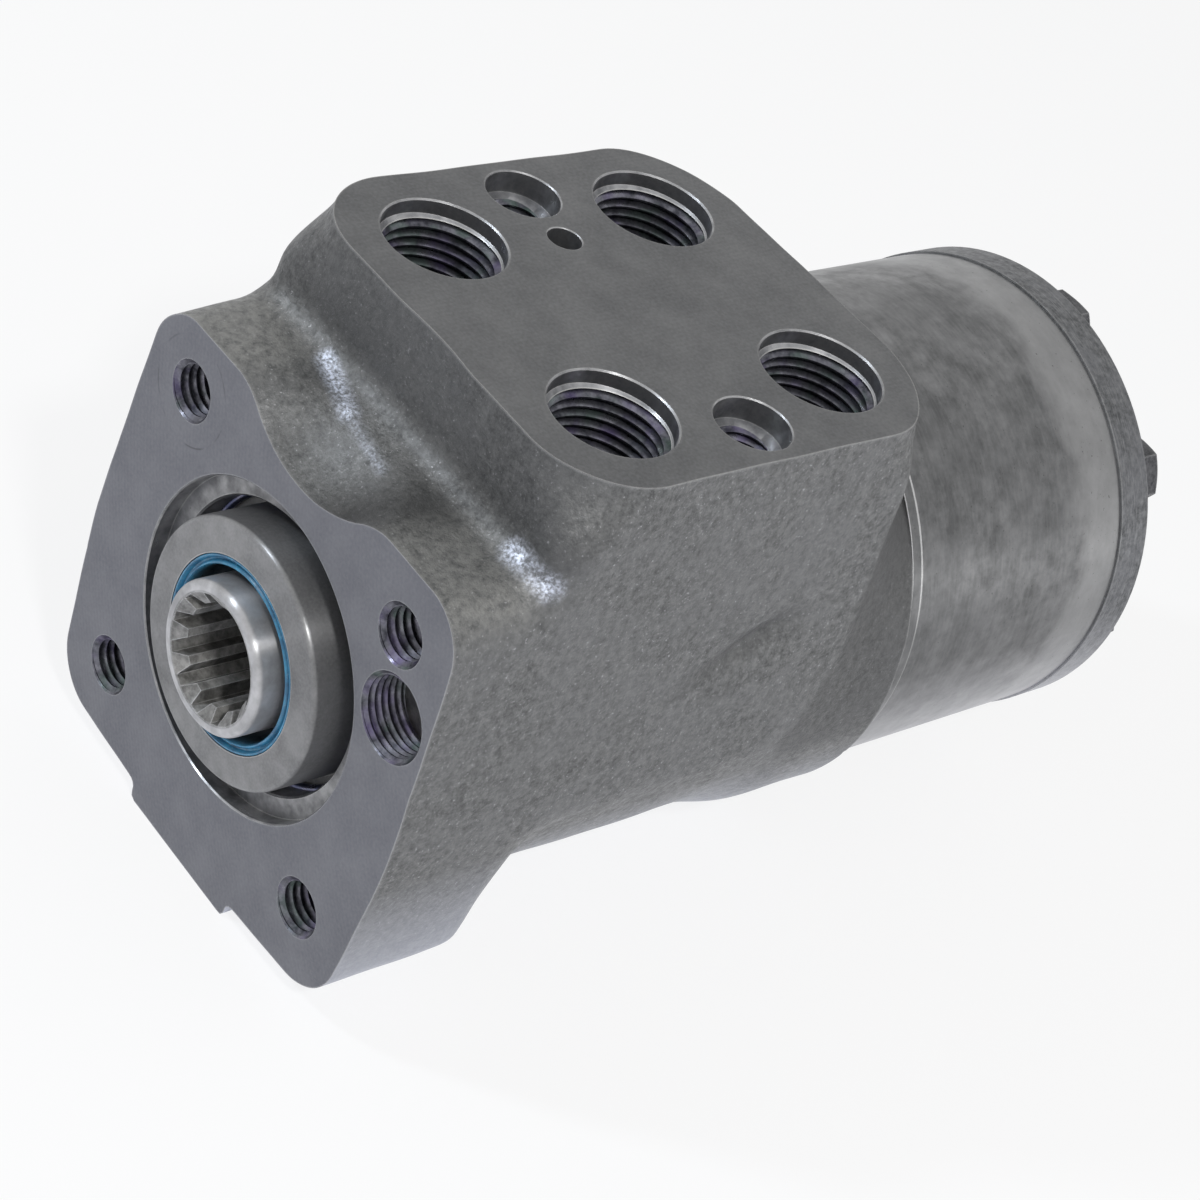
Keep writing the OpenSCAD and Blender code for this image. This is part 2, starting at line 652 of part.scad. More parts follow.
module drive_shaft() {
    fork_r = spool_bore_r - 1.4;
    fork_front = 12;
    fork_rear = 9;
    slot_half_w = pin_r + 0.15;
    slot_extra = fork_r * tan(shaft_tilt) + 0.15;
    tip_r = rotor_spline_r - 0.25;
    root_r = rotor_minor_r - 1;
    tooth_half_t = 1.25;
    crown = head_half_l * head_half_l / (2 * 0.55);
    color([0.55, 0.55, 0.56]) translate([0, pin_y, 0]) rotate([shaft_tilt, 0, 0]) difference() {
        union() {
            turned() polygon([[0, -fork_front], [fork_r - 1, -fork_front], [fork_r, 1 - fork_front],
                [fork_r, fork_rear], [shaft_r, fork_rear + 4], [shaft_r, shaft_reach - head_half_l - 2],
                [root_r, shaft_reach - head_half_l], [root_r, shaft_reach + head_half_l],
                [root_r - 1, shaft_reach + head_half_l + head_nose], [0, shaft_reach + head_half_l + head_nose]]);
            translate([0, shaft_reach, 0]) intersection() {
                for (i = [0:spline_teeth - 1]) rotate([0, i * 360 / spline_teeth, 0])
                    crowned_tooth(root_r - 1, tip_r + 1, tooth_half_t, crown, head_half_l);
                turned() polygon(concat([[0, -head_half_l]],
                    [for (i = [-6:6]) [tip_r - 0.6 * pow(i / 6, 2), i * head_half_l / 6]], [[0, head_half_l]]));
            }
        }
        // Slot for the cross pin, deep enough for the shaft to lean along the pin
        translate([-fork_r - 1, -fork_front - 1, -slot_half_w])
            cube([2 * fork_r + 2, fork_front + 1 + slot_extra, 2 * slot_half_w]);
        translate([-fork_r - 1, slot_extra, 0]) rotate([0, 90, 0])
            cylinder(r = slot_half_w, h = 2 * fork_r + 2, $fn = 48);
    }
}

module check_bush() {
    color([0.7, 0.69, 0.66]) difference() {
        bar(check_x, check_z, check_hole_r - fit_c, check_bush_y, check_bush_y + check_bush_l);
        bar(check_x, check_z, 3.6, check_bush_y - 1, check_bush_y + check_bush_l + 1);
    }
}

module check_ball() {
    ball_y = check_seat_y - check_ball_r - 0.3;
    color([0.8, 0.8, 0.82]) translate([check_x, ball_y, check_z]) sphere(r = check_ball_r, $fn = 48);
}

// One face seal between two pieces of the metering set
module face_seal(y) {
    color([0.08, 0.08, 0.09]) oring(oring_r, y, oring_cord_r);
}

module housing_oring() {
    face_seal(housing_l - seal_groove_d / 2);
}

module ring_front_oring() {
    face_seal(ring_y + seal_groove_d / 2);
}

module ring_rear_oring() {
    face_seal(cover_y - seal_groove_d / 2);
}

// Holes for the cover screws through a piece of the metering set
module screw_holes(y0, y1) {
    for (i = [0:lobes - 1])
        bar(lobe_circle_r * cos(lobe_angle(i)), lobe_circle_r * sin(lobe_angle(i)), screw_r + 0.3, y0, y1);
}

module distributor_plate() {
    color([0.6, 0.6, 0.62]) difference() {
        ring(shaft_r + orbit_r + 1.3, ring_r, plate_y, plate_y + plate_t);
        screw_holes(plate_y - 1, plate_y + plate_t + 1);
        for (i = [0:lobes - 1])
            bar(passage_r * cos(passage_angle(i)), passage_r * sin(passage_angle(i)), passage_hole_r,
                plate_y - 1, plate_y + plate_t + 1, $fn = 32);
    }
}

module gear_ring() {
    chamber_r = lobe_circle_r - lobe_r + 2 * orbit_r + 0.15;
    color([0.62, 0.63, 0.64]) difference() {
        slab(ring_y, cover_y) difference() {
            circle(r = ring_r, $fn = 144);
            difference() {
                circle(r = chamber_r, $fn = 144);
                for (i = [0:lobes - 1]) rotate(lobe_angle(i)) translate([lobe_circle_r, 0]) circle(r = lobe_r);
            }
        }
        screw_holes(ring_y - 1, cover_y + 1);
        for (y = [ring_y - 1, cover_y - seal_groove_d])
            ring(oring_r - seal_groove_w / 2, oring_r + seal_groove_w / 2, y, y + seal_groove_d + 1);
    }
}

// Outline of the rotor: the envelope of the ring's lobes as it rolls in the ring
function rotor_point(t) = let (
        c = lobe_circle_r / (orbit_r * lobes),
        p = atan2(sin((1 - lobes) * t), c - cos((1 - lobes) * t)),
        r = lobe_r + gear_c)
    [lobe_circle_r * cos(t) - r * cos(t + p) - orbit_r * cos(lobes * t),
     lobe_circle_r * sin(t) - r * sin(t + p) - orbit_r * sin(lobes * t)];

// Even steps drawn together towards the valleys of the rotor, where the outline runs fastest
function crowded(a) = a - 0.85 * sin((lobes - 1) * a) / (lobes - 1) * 180 / PI;

module rotor() {
    points = 36 * (lobes - 1);
    color([0.7, 0.7, 0.72]) translate([0, 0, orbit_r]) slab(ring_y + play, cover_y - play) difference() {
        rotate(90) polygon([for (i = [0:points - 1]) rotor_point(crowded(i * 360 / points))]);
        intersection() {
            circle(r = rotor_spline_r);
            spline_spaces(rotor_minor_r, rotor_spline_r + 1, 2.9, 2.9);
        }
    }
}

module rotor_spacer() {
    spacer_y = rotor_mid_y + head_half_l + head_nose + 0.8;
    color([0.5, 0.5, 0.52]) translate([0, 0, orbit_r])
        bar(0, 0, rotor_minor_r - 0.2, spacer_y, cover_y - 0.1);
}

module end_cover() {
    edge = 0.8;
    color([0.36, 0.37, 0.38]) difference() {
        turned() polygon([[0, cover_y], [cover_r, cover_y], [cover_r, cover_y + cover_t - edge],
            [cover_r - edge, cover_y + cover_t], [0, cover_y + cover_t]]);
        screw_holes(cover_y - 1, cover_y + cover_t + 1);
    }
}

// Places the pieces of one screw on the circle of cover screws
module on_screw(i) {
    translate([lobe_circle_r * cos(lobe_angle(i)), 0, lobe_circle_r * sin(lobe_angle(i))]) children();
}

module cover_washers() {
    color([0.5, 0.5, 0.52]) for (i = [0:lobes - 1]) on_screw(i)
        ring(screw_r + 0.2, 7.4, head_y - washer_t, head_y);
}

// A hexagon screw, which may carry a plain pin at its tip
module screw(pin_l = 0) {
    tip_y = head_y - screw_l;
    tip_r = screw_r - 0.8;
    pin = pin_l > 0 ? [[0, tip_y - pin_l], [tip_r - 0.4, tip_y - pin_l], [tip_r - 0.4, tip_y]] : [[0, tip_y]];
    turned() polygon(concat(pin, [[tip_r, tip_y], [screw_r, tip_y + 0.8], [screw_r, head_y], [0, head_y]]));
    intersection() {
        translate([0, head_y, 0]) rotate([-90, 0, 0]) cylinder(d = head_af / cos(30), h = head_h, $fn = 6);
        turned() polygon([[0, head_y - 1], [head_af, head_y - 1], [head_af, head_y + head_h - 3.2],
            [head_af / 2 - 0.6, head_y + head_h], [0, head_y + head_h]]);
    }
}

module cover_screws() {
    color([0.3, 0.3, 0.32]) for (i = [0:lobes - 1]) if (i != 3) on_screw(i) screw();
}

module pin_screw() {
    color([0.3, 0.3, 0.32]) on_screw(3) screw(1.6);
}

housing();
gland_ring();
dust_seal();
shaft_seal();
seal_energiser();
gland_oring();
retaining_ring();
outer_race();
needle_cage();
thrust_needles();
inner_race();
spool();
sleeve();
spring_ring();
curved_springs();
flat_springs();
cross_pin();
drive_shaft();
check_bush();
check_ball();
housing_oring();
distributor_plate();
ring_front_oring();
gear_ring();
rotor();
rotor_spacer();
ring_rear_oring();
end_cover();
cover_washers();
cover_screws();
pin_screw();
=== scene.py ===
import math

import bmesh
import bpy
import numpy as np
from mathutils import Matrix, Vector


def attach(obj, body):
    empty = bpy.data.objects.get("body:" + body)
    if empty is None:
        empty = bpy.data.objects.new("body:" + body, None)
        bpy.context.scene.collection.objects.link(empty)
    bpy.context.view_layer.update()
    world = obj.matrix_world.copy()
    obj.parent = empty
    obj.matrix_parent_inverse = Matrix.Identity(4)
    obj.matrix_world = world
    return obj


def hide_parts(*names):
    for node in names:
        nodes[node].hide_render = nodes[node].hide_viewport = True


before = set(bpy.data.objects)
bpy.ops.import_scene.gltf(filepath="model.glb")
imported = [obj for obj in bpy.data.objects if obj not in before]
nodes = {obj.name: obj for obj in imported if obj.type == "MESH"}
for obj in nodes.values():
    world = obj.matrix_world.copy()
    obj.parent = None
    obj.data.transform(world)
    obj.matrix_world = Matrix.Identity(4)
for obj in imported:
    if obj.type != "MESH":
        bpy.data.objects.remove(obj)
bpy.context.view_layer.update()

# Cast housing: one grey iron sand casting with drafted side walls that meet the round barrel at the parting
# line, a port block on top, corner bosses for the column screws and a swollen rear flange. Its volumes are
# written as distances in millimetres and meshed once, so every fillet runs out as in a real casting.
MM = 0.001
HOUSING_L = 107.0
PORT_FACE_Z = 58.7
BARREL_R = 43.1
FLANGE_R, FLANGE_DROP, FLANGE_START, FLANGE_RUN = 44.2, 2.1, 74, 19
CREASE_X, CREASE_Z = 43.48, -6.0
UPPER_DRAFT, LOWER_DRAFT, LOWER_DRAFT_MORE = 0.0677, 0.087, 0.27
WALL_END_Y, WALL_END_FORWARD = 89.5, 6.5
BOSS_TOP_Z, BOSS_TOP_RISE = 40.3, 0.09
FRONT_WALL_Y, FRONT_WALL_LEAN = 17.2, 0.06
REAR_WALL_Y, REAR_WALL_LEAN, REAR_WALL_SLOPE = 96.8, 0.61, 1.171
BOSS_UNDER_Z, BOSS_UNDER_RISE, BOSS_END_Y, BOSS_END_LEAN = -43.9, 0.07, 27, 0.23
PAD_HALF_W, PAD_Z, PAD_END_Y = 14.5, -46.25, 80
SCOOP_R, SCOOP_Y, SCOOP_Z = 26, -9, 57.8
RIGHT_WALL = (20, 35)
HOLLOW_ALONG = (0.92, 0.39)
BOX_X, BOX_Z = 44.17, -46.27
SPARE = 1.2
WAVE_HEIGHT = 0.016
WAVE_NUMBERS = (0.16, 0.21, 0.3, 0.42, 0.6, 0.8)
CAST_LOW, CAST_HIGH, CAST_STEP = (-47.5, -2.0, -48.5), (47.5, 109.5, 61.5), 1.05


def ramp(v, start, end):
    t = np.clip((v - start) / (end - start), 0, 1)
    return t * t * (3 - 2 * t)


def joined(a, b, r):
    """Two volumes in one, with a round fillet where they meet."""
    return np.maximum(r, np.minimum(a, b)) - np.hypot(np.maximum(r - a, 0), np.maximum(r - b, 0))


def rounded(a, b, r):
    """What two volumes share, with a round edge where they meet."""
    return np.minimum(-r, np.maximum(a, b)) + np.hypot(np.maximum(r + a, 0), np.maximum(r + b, 0))


rng = np.random.default_rng(7)
waves = [(rng.normal(size=3), rng.uniform(0, 6.3), k) for k in WAVE_NUMBERS]


def unevenness(p):
    total = 0
    for direction, phase, k in waves:
        direction = direction / np.linalg.norm(direction)
        total = total + WAVE_HEIGHT / k * np.sin(k * (p @ direction) + phase)
    return total


def spot(p, centre, along, half_l, half_w):
    """A soft oval on the right side wall, in Y and Z."""
    u = (p[..., 1] - centre[0]) * along[0] + (p[..., 2] - centre[1]) * along[1]
    v = (p[..., 2] - centre[1]) * along[0] - (p[..., 1] - centre[0]) * along[1]
    return np.exp(-(u / half_l) ** 2 - (v / half_w) ** 2) * ramp(p[..., 0], *RIGHT_WALL)


def casting(p):
    """Distance of the points p to the cast surface, negative inside it."""
    x, y, z = p[..., 0], p[..., 1], p[..., 2]
    ax = np.abs(x)
    # drafted side walls above and below the crease
    under = LOWER_DRAFT + LOWER_DRAFT_MORE * ramp(y, 24, 36)
    over_crease, under_crease = UPPER_DRAFT * (z - CREASE_Z), under * (z - CREASE_Z)
    side = rounded(ax - CREASE_X + over_crease, ax - CREASE_X - under_crease, 0.9)
    # barrel and its swollen rear flange, cut away above the front bosses
    swell = (1 - np.cos(math.pi * np.clip((y - FLANGE_START) / FLANGE_RUN, 0, 1))) / 2
    barrel = np.hypot(x, z + FLANGE_DROP * swell) - BARREL_R - (FLANGE_R - BARREL_R) * swell
    barrel = np.maximum(barrel, np.minimum(z - 37, 25 - y))
    # side walls end in an edge, behind which the block falls away to the rim of the flange
    wall_end = WALL_END_Y - WALL_END_FORWARD * ramp(-z, -12, 4)
    t = (y - wall_end) / (HOUSING_L - wall_end)
    edge = 0.03 + 0.47 * ramp(z, 44, PORT_FACE_Z)
    fall = np.where(t > edge, t, np.clip(t + edge, 0, None) ** 2 / (4 * edge))
    rim = np.hypot(x, z + FLANGE_DROP) - FLANGE_R
    wall = side + fall * np.maximum(rim - side, 0)
    # tops of the two upper bosses, running into the front wall of the port block
    boss_top = z - BOSS_TOP_Z - BOSS_TOP_RISE * np.clip(y, 0, 17)
    profile = joined(boss_top, FRONT_WALL_Y - FRONT_WALL_LEAN * (PORT_FACE_Z - z) - y, 4.5)
    corner_r = 8.5 - 2.5 * ramp(z, 41, 46) + 10 * ramp(z, 46, PORT_FACE_Z)
    block = rounded(wall, profile, corner_r)
    rear = (y - REAR_WALL_Y - REAR_WALL_LEAN * (PORT_FACE_Z - z)) / REAR_WALL_SLOPE
    block = rounded(block, rear, 3)
    block = np.maximum(block, -14 - z)
    # lower corner bosses and the pad between them
    boss = rounded(side, BOSS_UNDER_RISE * ax + BOSS_UNDER_Z - z, 8.5)
    boss = rounded(boss, y - BOSS_END_Y - BOSS_END_LEAN * (z + 42), 4)
    boss = np.maximum(boss, z + 4)
    pad = rounded(rounded(ax - PAD_HALF_W, PAD_Z - z, 1.2), y - PAD_END_Y, 2)
    body = joined(barrel, block, 0.05 + 1.2 * ramp(y, 58, 74))
    body = joined(body, boss, 0.05 + 3 * ramp(-z, 12, 24))
    body = joined(body, np.maximum(pad, z + 30), 1.5)
    # scoop between the upper bosses
    scoop = SCOOP_R - np.sqrt(x * x + (y - SCOOP_Y) ** 2 + (z - SCOOP_Z) ** 2)
    body = rounded(body, scoop, 2.2)
    # dip behind the edge of the wall, hollow with a raised lip, and a tiny pit
    dip = np.clip(1 - np.abs(t - 0.42) / 0.58, 0, 1) * ramp(-z, -30, -4) * ramp(z, -9, -5)
    body = body + 0.9 * (dip * ramp(x, *RIGHT_WALL))
    hollow, lip = spot(p, (66, 20.5), HOLLOW_ALONG, 9, 2.6), spot(p, (71, 12.5), HOLLOW_ALONG, 12, 4)
    body = body + 1.7 * hollow - 0.7 * lip
    body = body + 1.2 * spot(p, (77.7, -0.4), (0.6, 0.8), 1.1, 0.7)
    # spare metal on the faces that are milled later, and the limits of the casting
    ends = np.maximum(np.maximum(-SPARE - y, y - HOUSING_L - SPARE), z - PORT_FACE_Z - 1.3)
    ends = np.maximum(ends, np.maximum(BOX_Z - z, ax - BOX_X))
    return np.maximum(body + unevenness(p), ends)


def surface_points(distance, low, high, step):
    """Quads of a surface net over the zero of a distance, with its points brought onto the surface."""
    axes = [np.arange(low[i], high[i] + step, step) for i in range(3)]
    grid = np.stack(np.meshgrid(*axes, indexing="ij"), axis=-1)
    f = distance(grid)
    shape = np.array(f.shape)
    corners = [(i, j, k) for i in (0, 1) for j in (0, 1) for k in (0, 1)]

    def cell(c, a):
        return a[c[0]:shape[0] - 1 + c[0], c[1]:shape[1] - 1 + c[1], c[2]:shape[2] - 1 + c[2]]

    count = sum((cell(c, f) < 0).astype(int) for c in corners)
    active = (count > 0) & (count < 8)
    index = np.full(active.shape, -1)
    index[active] = np.arange(active.sum())
    where = np.argwhere(active)
    total, number = np.zeros((len(where), 3)), np.zeros(len(where))
    for a in corners:
        for axis in range(3):
            if a[axis]:
                continue
            b = tuple(a[i] + (i == axis) for i in range(3))
            fa, fb = cell(a, f)[active], cell(b, f)[active]
            cross = (fa < 0) != (fb < 0)
            t = np.where(cross, fa / np.where(cross, fa - fb, 1), 0)
            point = where + np.array(a, float)
            point[:, axis] += t
            total += np.where(cross[:, None], point, 0)
            number += cross
    points = np.array(low) + step * total / number[:, None]
    quads = []
    for axis in range(3):
        u, v = (axis + 1) % 3, (axis + 2) % 3
        ahead = [slice(None)] * 3
        back = [slice(None)] * 3
        ahead[axis], back[axis] = slice(1, None), slice(0, -1)
        fa, fb = f[tuple(back)], f[tuple(ahead)]
        for flip in (False, True):
            at = np.argwhere(((fa < 0) & (fb >= 0)) if not flip else ((fa >= 0) & (fb < 0)))
            at = at[(at[:, u] > 0) & (at[:, v] > 0) & (at[:, u] < shape[u] - 1) & (at[:, v] < shape[v] - 1)]
            ring = []
            for du, dv in ((1, 1), (0, 1), (0, 0), (1, 0)):
                q = at.copy()
                q[:, u] -= du
                q[:, v] -= dv
                ring.append(index[q[:, 0], q[:, 1], q[:, 2]])
            if flip:
                ring.reverse()
            quads.append(np.stack(ring, axis=1))
    quads = np.concatenate(quads)

    def onto(p):
        """The points moved along the slope of the distance, by less than a cell."""
        h = 0.02
        d = distance(p)
        g = np.stack([(distance(p + h * np.eye(3)[i]) - d) / h for i in range(3)], axis=-1)
        move = d[:, None] * g / np.maximum((g * g).sum(-1), 0.2)[:, None]
        length = np.linalg.norm(move, axis=1, keepdims=True)
        return p - move * np.minimum(1, 0.8 * step / np.maximum(length, 1e-9))

    for sweep in range(3):
        total, number = np.zeros_like(points), np.zeros(len(points))
        centre = points[quads].mean(axis=1)
        for k in range(4):
            np.add.at(total, quads[:, k], centre)
            np.add.at(number, quads[:, k], 1)
        held = number > 0
        points[held] += 0.6 * (total[held] / number[held, None] - points[held])
        points = onto(onto(points))
    return points, quads


def new_object(name, vertices, faces, materials=(), indices=None):
    """A mesh object whose vertices are given in millimetres."""
    mesh = bpy.data.meshes.new(name)
    mesh.from_pydata([tuple(v) for v in np.asarray(vertices, float) * MM], [],
                     [tuple(int(i) for i in f) for f in faces])
    for material in materials:
        mesh.materials.append(material)
    if indices is not None:
        mesh.polygons.foreach_set("material_index", np.asarray(indices, np.int32))
    mesh.validate()
    piece = bpy.data.objects.new(name, mesh)
    bpy.context.scene.collection.objects.link(piece)
    return piece


cast_points, cast_quads = surface_points(casting, CAST_LOW, CAST_HIGH, CAST_STEP)

# Machined faces, bores and threads of the housing: cutters with the radii and depths of the CAD solid take
# the column face, port face, rear face and stepped bore out of the raw casting, and helical cutters leave
# true threads in the four G 1/2 ports, the six M10 holes and the check valve hole.
MILLED, BORED, THREADED = 1, 2, 3
HOUSING_LOOKS = ("cast_iron", "milled_iron", "bored_iron", "thread_iron")
housing_materials = [bpy.data.materials.new(name) for name in HOUSING_LOOKS]
BLOCK_Y, PORT_OFFSET, GROOVE_OFFSET = 57, 22.225, 4
PORTS = [(sx * PORT_OFFSET, BLOCK_Y + sy * PORT_OFFSET, sy) for sx in (-1, 1) for sy in (-1, 1)]
GROOVES = [port[1] + s * GROOVE_OFFSET for port in PORTS[:2] for s in (-1, 1)]
GROOVE_R, GROOVE_HALF_W = 25.5, 2.5
SLEEVE_BORE_R = 22.54
# profiles of the turned mouths as radius and depth
FRONT_BORE = [(0, -2), (28.1, -2), (28.1, 0), (27.9, 0.25), (27.9, 3.2), (24.5, 3.2), (24.2, 3.5),
              (24.2, 7.45), (25.3, 7.45), (25.3, 9.45), (24.2, 9.45), (24.2, 18.25), (SLEEVE_BORE_R, 18.25)]
PORT_MOUTH = [(0, -1), (10.7, -1), (10.7, 0), (10.45, 0.25), (10.45, 2.6), (9.35, 3.6), (0, 3.6)]
BLOCK_SCREW_X = 30.3
BLOCK_SCREW_MOUTH = [(0, -1), (6.65, -1), (6.65, 0), (6.45, 0.2), (6.45, 4.1), (4.5, 4.7), (0, 4.7)]
PIN_HOLE_PLACE = (-18, 56.4)
PIN_HOLE = [(0, -1), (3.1, -1), (3.1, 0), (2.95, 0.15), (2.95, 8), (0, 8)]
COLUMN_HOLES = [(sx * 29.2, sz * 29.2) for sx in (-1, 1) for sz in (-1, 1)]
COLUMN_CHAMFER = [(0, -1), (5.15, -1), (5.15, 0), (4.4, 0.75), (0, 0.75)]
CHECK_HOLE = (33.3, 16.2)
CHECK_CHAMFER = [(0, -1), (7.25, -1), (7.25, 0), (6.7, 0.55), (0, 0.55)]
COVER_SCREWS, COVER_SCREW_CIRCLE_R, PASSAGE_CIRCLE_R = 7, 34, 29
# plain holes: radius, and the depths where they start and end
COVER_SCREW_HOLE, PASSAGE = (4.05, 90.7, 108), (2.2, 94, 108)
PORT_DRILLING, BALL_CHAMBER = (3.2, 14, 35), (4.6, 15.5, 26.6)
# threads: radius at the core, radius over the crest, pitch, and the depths where they start and end
PORT_THREAD, BLOCK_SCREW_THREAD = (9.3, 10.42, 1.814, 2.9, 17), (4.25, 5.0, 1.5, 4.4, 18)
COLUMN_THREAD, CHECK_THREAD = (4.25, 5.0, 1.5, -0.5, 18), (6.5, 7.1, 1.25, -0.5, 16.5)
FAR = 70


def downward(x, y):
    """Places the points of a cutter, two offsets and a depth, below the port face."""
    return lambda a, b, h: (x + a, y + b, PORT_FACE_Z - h)


def rearward(x, z):
    """The same, for a hole drilled from the column face."""
    return lambda a, b, h: (x + a, h, z + b)


def turned_cutter(place, profile, segments=64):
    """A solid of revolution from (radius, depth) pairs that start and end on the axis."""
    vertices, faces = [place(0, 0, profile[0][1]), place(0, 0, profile[-1][1])], []
    rows = []
    turns = [2 * math.pi * i / segments for i in range(segments)]
    for r, h in profile[1:-1]:
        rows.append(len(vertices))
        vertices += [place(r * math.cos(a), r * math.sin(a), h) for a in turns]
    for i in range(segments):
        j = (i + 1) % segments
        faces.append((0, rows[0] + i, rows[0] + j))
        faces.append((1, rows[-1] + j, rows[-1] + i))
        faces += [(a + i, b + i, b + j, a + j) for a, b in zip(rows, rows[1:])]
    return vertices, faces


def plain_hole(place, r, top, depth, segments=48):
    return turned_cutter(place, [(0, top), (r, top), (r, depth), (0, depth)], segments)


def thread_cutter(place, minor, major, pitch, top, depth, segments):
    """A tap: a solid whose ridge winds from depth top to depth, closed flat at both ends."""
    # share of a turn and radius there, over one pitch
    stations = ((0.0, minor), (0.16, minor), (0.5, major), (0.6, major))
    marks = [s[0] for s in stations] + [1.0]
    values = [s[1] for s in stations] + [minor]
    keys, vertices, faces = {}, [], []

    def vertex(i, h, r):
        key = (i % segments, round(h, 4))
        if key not in keys:
            keys[key] = len(vertices)
            angle = 2 * math.pi * i / segments
            vertices.append(place(r * math.cos(angle), r * math.sin(angle), h))
        return keys[key]

    first = int(math.floor(top / pitch)) - 2
    last = int(math.ceil(depth / pitch)) + 2
    table = []
    for turns in [n + s[0] for n in range(first, last) for s in stations]:
        row = []
        for i in range(segments + 1):
            held = min(max(pitch * (turns + i / segments), top), depth)
            fade = min(1.0, max(0.0, (depth - held) / pitch))
            r = float(np.interp((held / pitch - i / segments) % 1.0, marks, values))
            row.append(vertex(i, held, minor + (r - minor) * fade))
        table.append(row)
    for low, high in zip(table, table[1:]):
        for i in range(segments):
            loop = []
            for v in (low[i], low[i + 1], high[i + 1], high[i]):
                if v not in loop:
                    loop.append(v)
            if len(loop) > 2:
                faces.append(loop)
    for end in (top, depth):
        faces.append([keys[(i, round(end, 4))] for i in range(segments)])
    return vertices, faces


def block_cutter(low, high):
    (x0, y0, z0), (x1, y1, z1) = low, high
    vertices = [(x, y, z) for x in (x0, x1) for y in (y0, y1) for z in (z0, z1)]
    faces = [(0, 1, 3, 2), (4, 6, 7, 5), (0, 4, 5, 1), (2, 3, 7, 6), (0, 2, 6, 4), (1, 5, 7, 3)]
    return vertices, faces


def cut(piece, name, *solids_and_looks):
    """Cuts solids that don't touch out of a piece, each leaving its look on the faces it makes."""
    vertices, faces, indices = [], [], []
    for (v, f), look in solids_and_looks:
        start = len(vertices)
        vertices += v
        faces += [[start + i for i in loop] for loop in f]
        indices += [look] * len(f)
    cutter = new_object(name, vertices, faces, housing_materials, indices)
    mesh = bmesh.new()
    mesh.from_mesh(cutter.data)
    bmesh.ops.recalc_face_normals(mesh, faces=mesh.faces)
    mesh.to_mesh(cutter.data)
    mesh.free()
    modifier = piece.modifiers.new("cut", "BOOLEAN")
    modifier.operation = "DIFFERENCE"
    modifier.solver = "MANIFOLD"
    modifier.object = cutter
    with bpy.context.temp_override(object=piece, active_object=piece, selected_objects=[piece]):
        bpy.ops.object.modifier_apply(modifier=modifier.name)
    bpy.data.objects.remove(cutter)


housing = new_object("cast_housing", cast_points, cast_quads, housing_materials)
cut(housing, "column_plane", (block_cutter((-FAR, -9, -FAR), (FAR, 0, FAR)), MILLED))
cut(housing, "rear_plane", (block_cutter((-FAR, HOUSING_L, -FAR), (FAR, 115, FAR)), MILLED))
cut(housing, "port_plane", (block_cutter((-FAR, -FAR, PORT_FACE_Z), (FAR, 120, 66)), MILLED))
bore = list(FRONT_BORE)
for y in sorted(GROOVES):
    start, end = y - GROOVE_HALF_W, y + GROOVE_HALF_W
    bore += [(SLEEVE_BORE_R, start), (GROOVE_R, start), (GROOVE_R, end), (SLEEVE_BORE_R, end)]
bore += [(SLEEVE_BORE_R, HOUSING_L + 2), (0, HOUSING_L + 2)]
cut(housing, "main_bore", (turned_cutter(rearward(0, 0), bore, 144), BORED))
mouths = []
for x, y, side in PORTS:
    mouths.append((turned_cutter(downward(x, y), PORT_MOUTH), BORED))
    mouths.append((plain_hole(downward(x, y + GROOVE_OFFSET * side), *PORT_DRILLING, 32), BORED))
for x in (-BLOCK_SCREW_X, BLOCK_SCREW_X):
    mouths.append((turned_cutter(downward(x, BLOCK_Y), BLOCK_SCREW_MOUTH), BORED))
mouths.append((turned_cutter(downward(*PIN_HOLE_PLACE), PIN_HOLE, 40), BORED))
for x, z in COLUMN_HOLES:
    mouths.append((turned_cutter(rearward(x, z), COLUMN_CHAMFER), THREADED))
mouths.append((turned_cutter(rearward(*CHECK_HOLE), CHECK_CHAMFER), THREADED))
for i in range(COVER_SCREWS):
    a = math.radians(90 + i * 360 / COVER_SCREWS)
    b = math.radians(90 + (i + 0.5) * 360 / COVER_SCREWS)
    screw_place = rearward(COVER_SCREW_CIRCLE_R * math.cos(a), COVER_SCREW_CIRCLE_R * math.sin(a))
    passage_place = rearward(PASSAGE_CIRCLE_R * math.cos(b), PASSAGE_CIRCLE_R * math.sin(b))
    mouths.append((plain_hole(screw_place, *COVER_SCREW_HOLE, 32), THREADED))
    mouths.append((plain_hole(passage_place, *PASSAGE, 24), BORED))
cut(housing, "mouths", *mouths)
taps = [thread_cutter(downward(x, y), *PORT_THREAD, 64) for x, y, side in PORTS]
taps += [thread_cutter(downward(side * BLOCK_SCREW_X, BLOCK_Y), *BLOCK_SCREW_THREAD, 40) for side in (-1, 1)]
taps += [thread_cutter(rearward(x, z), *COLUMN_THREAD, 40) for x, z in COLUMN_HOLES]
taps.append(thread_cutter(rearward(*CHECK_HOLE), *CHECK_THREAD, 56))
cut(housing, "threads", *[(tap, THREADED) for tap in taps])
cut(housing, "ball_chamber", (plain_hole(rearward(*CHECK_HOLE), *BALL_CHAMBER), BORED))


def smoothed(piece, angle=32):
    """Smooth faces with hard edges wherever two faces meet at more than the angle."""
    mesh = bmesh.new()
    mesh.from_mesh(piece.data)
    for face in mesh.faces:
        face.smooth = True
    for e in mesh.edges:
        e.smooth = len(e.link_faces) == 2 and e.calc_face_angle(0) < math.radians(angle)
    mesh.to_mesh(piece.data)
    mesh.free()


smoothed(housing)
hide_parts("housing")
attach(housing, "housing")


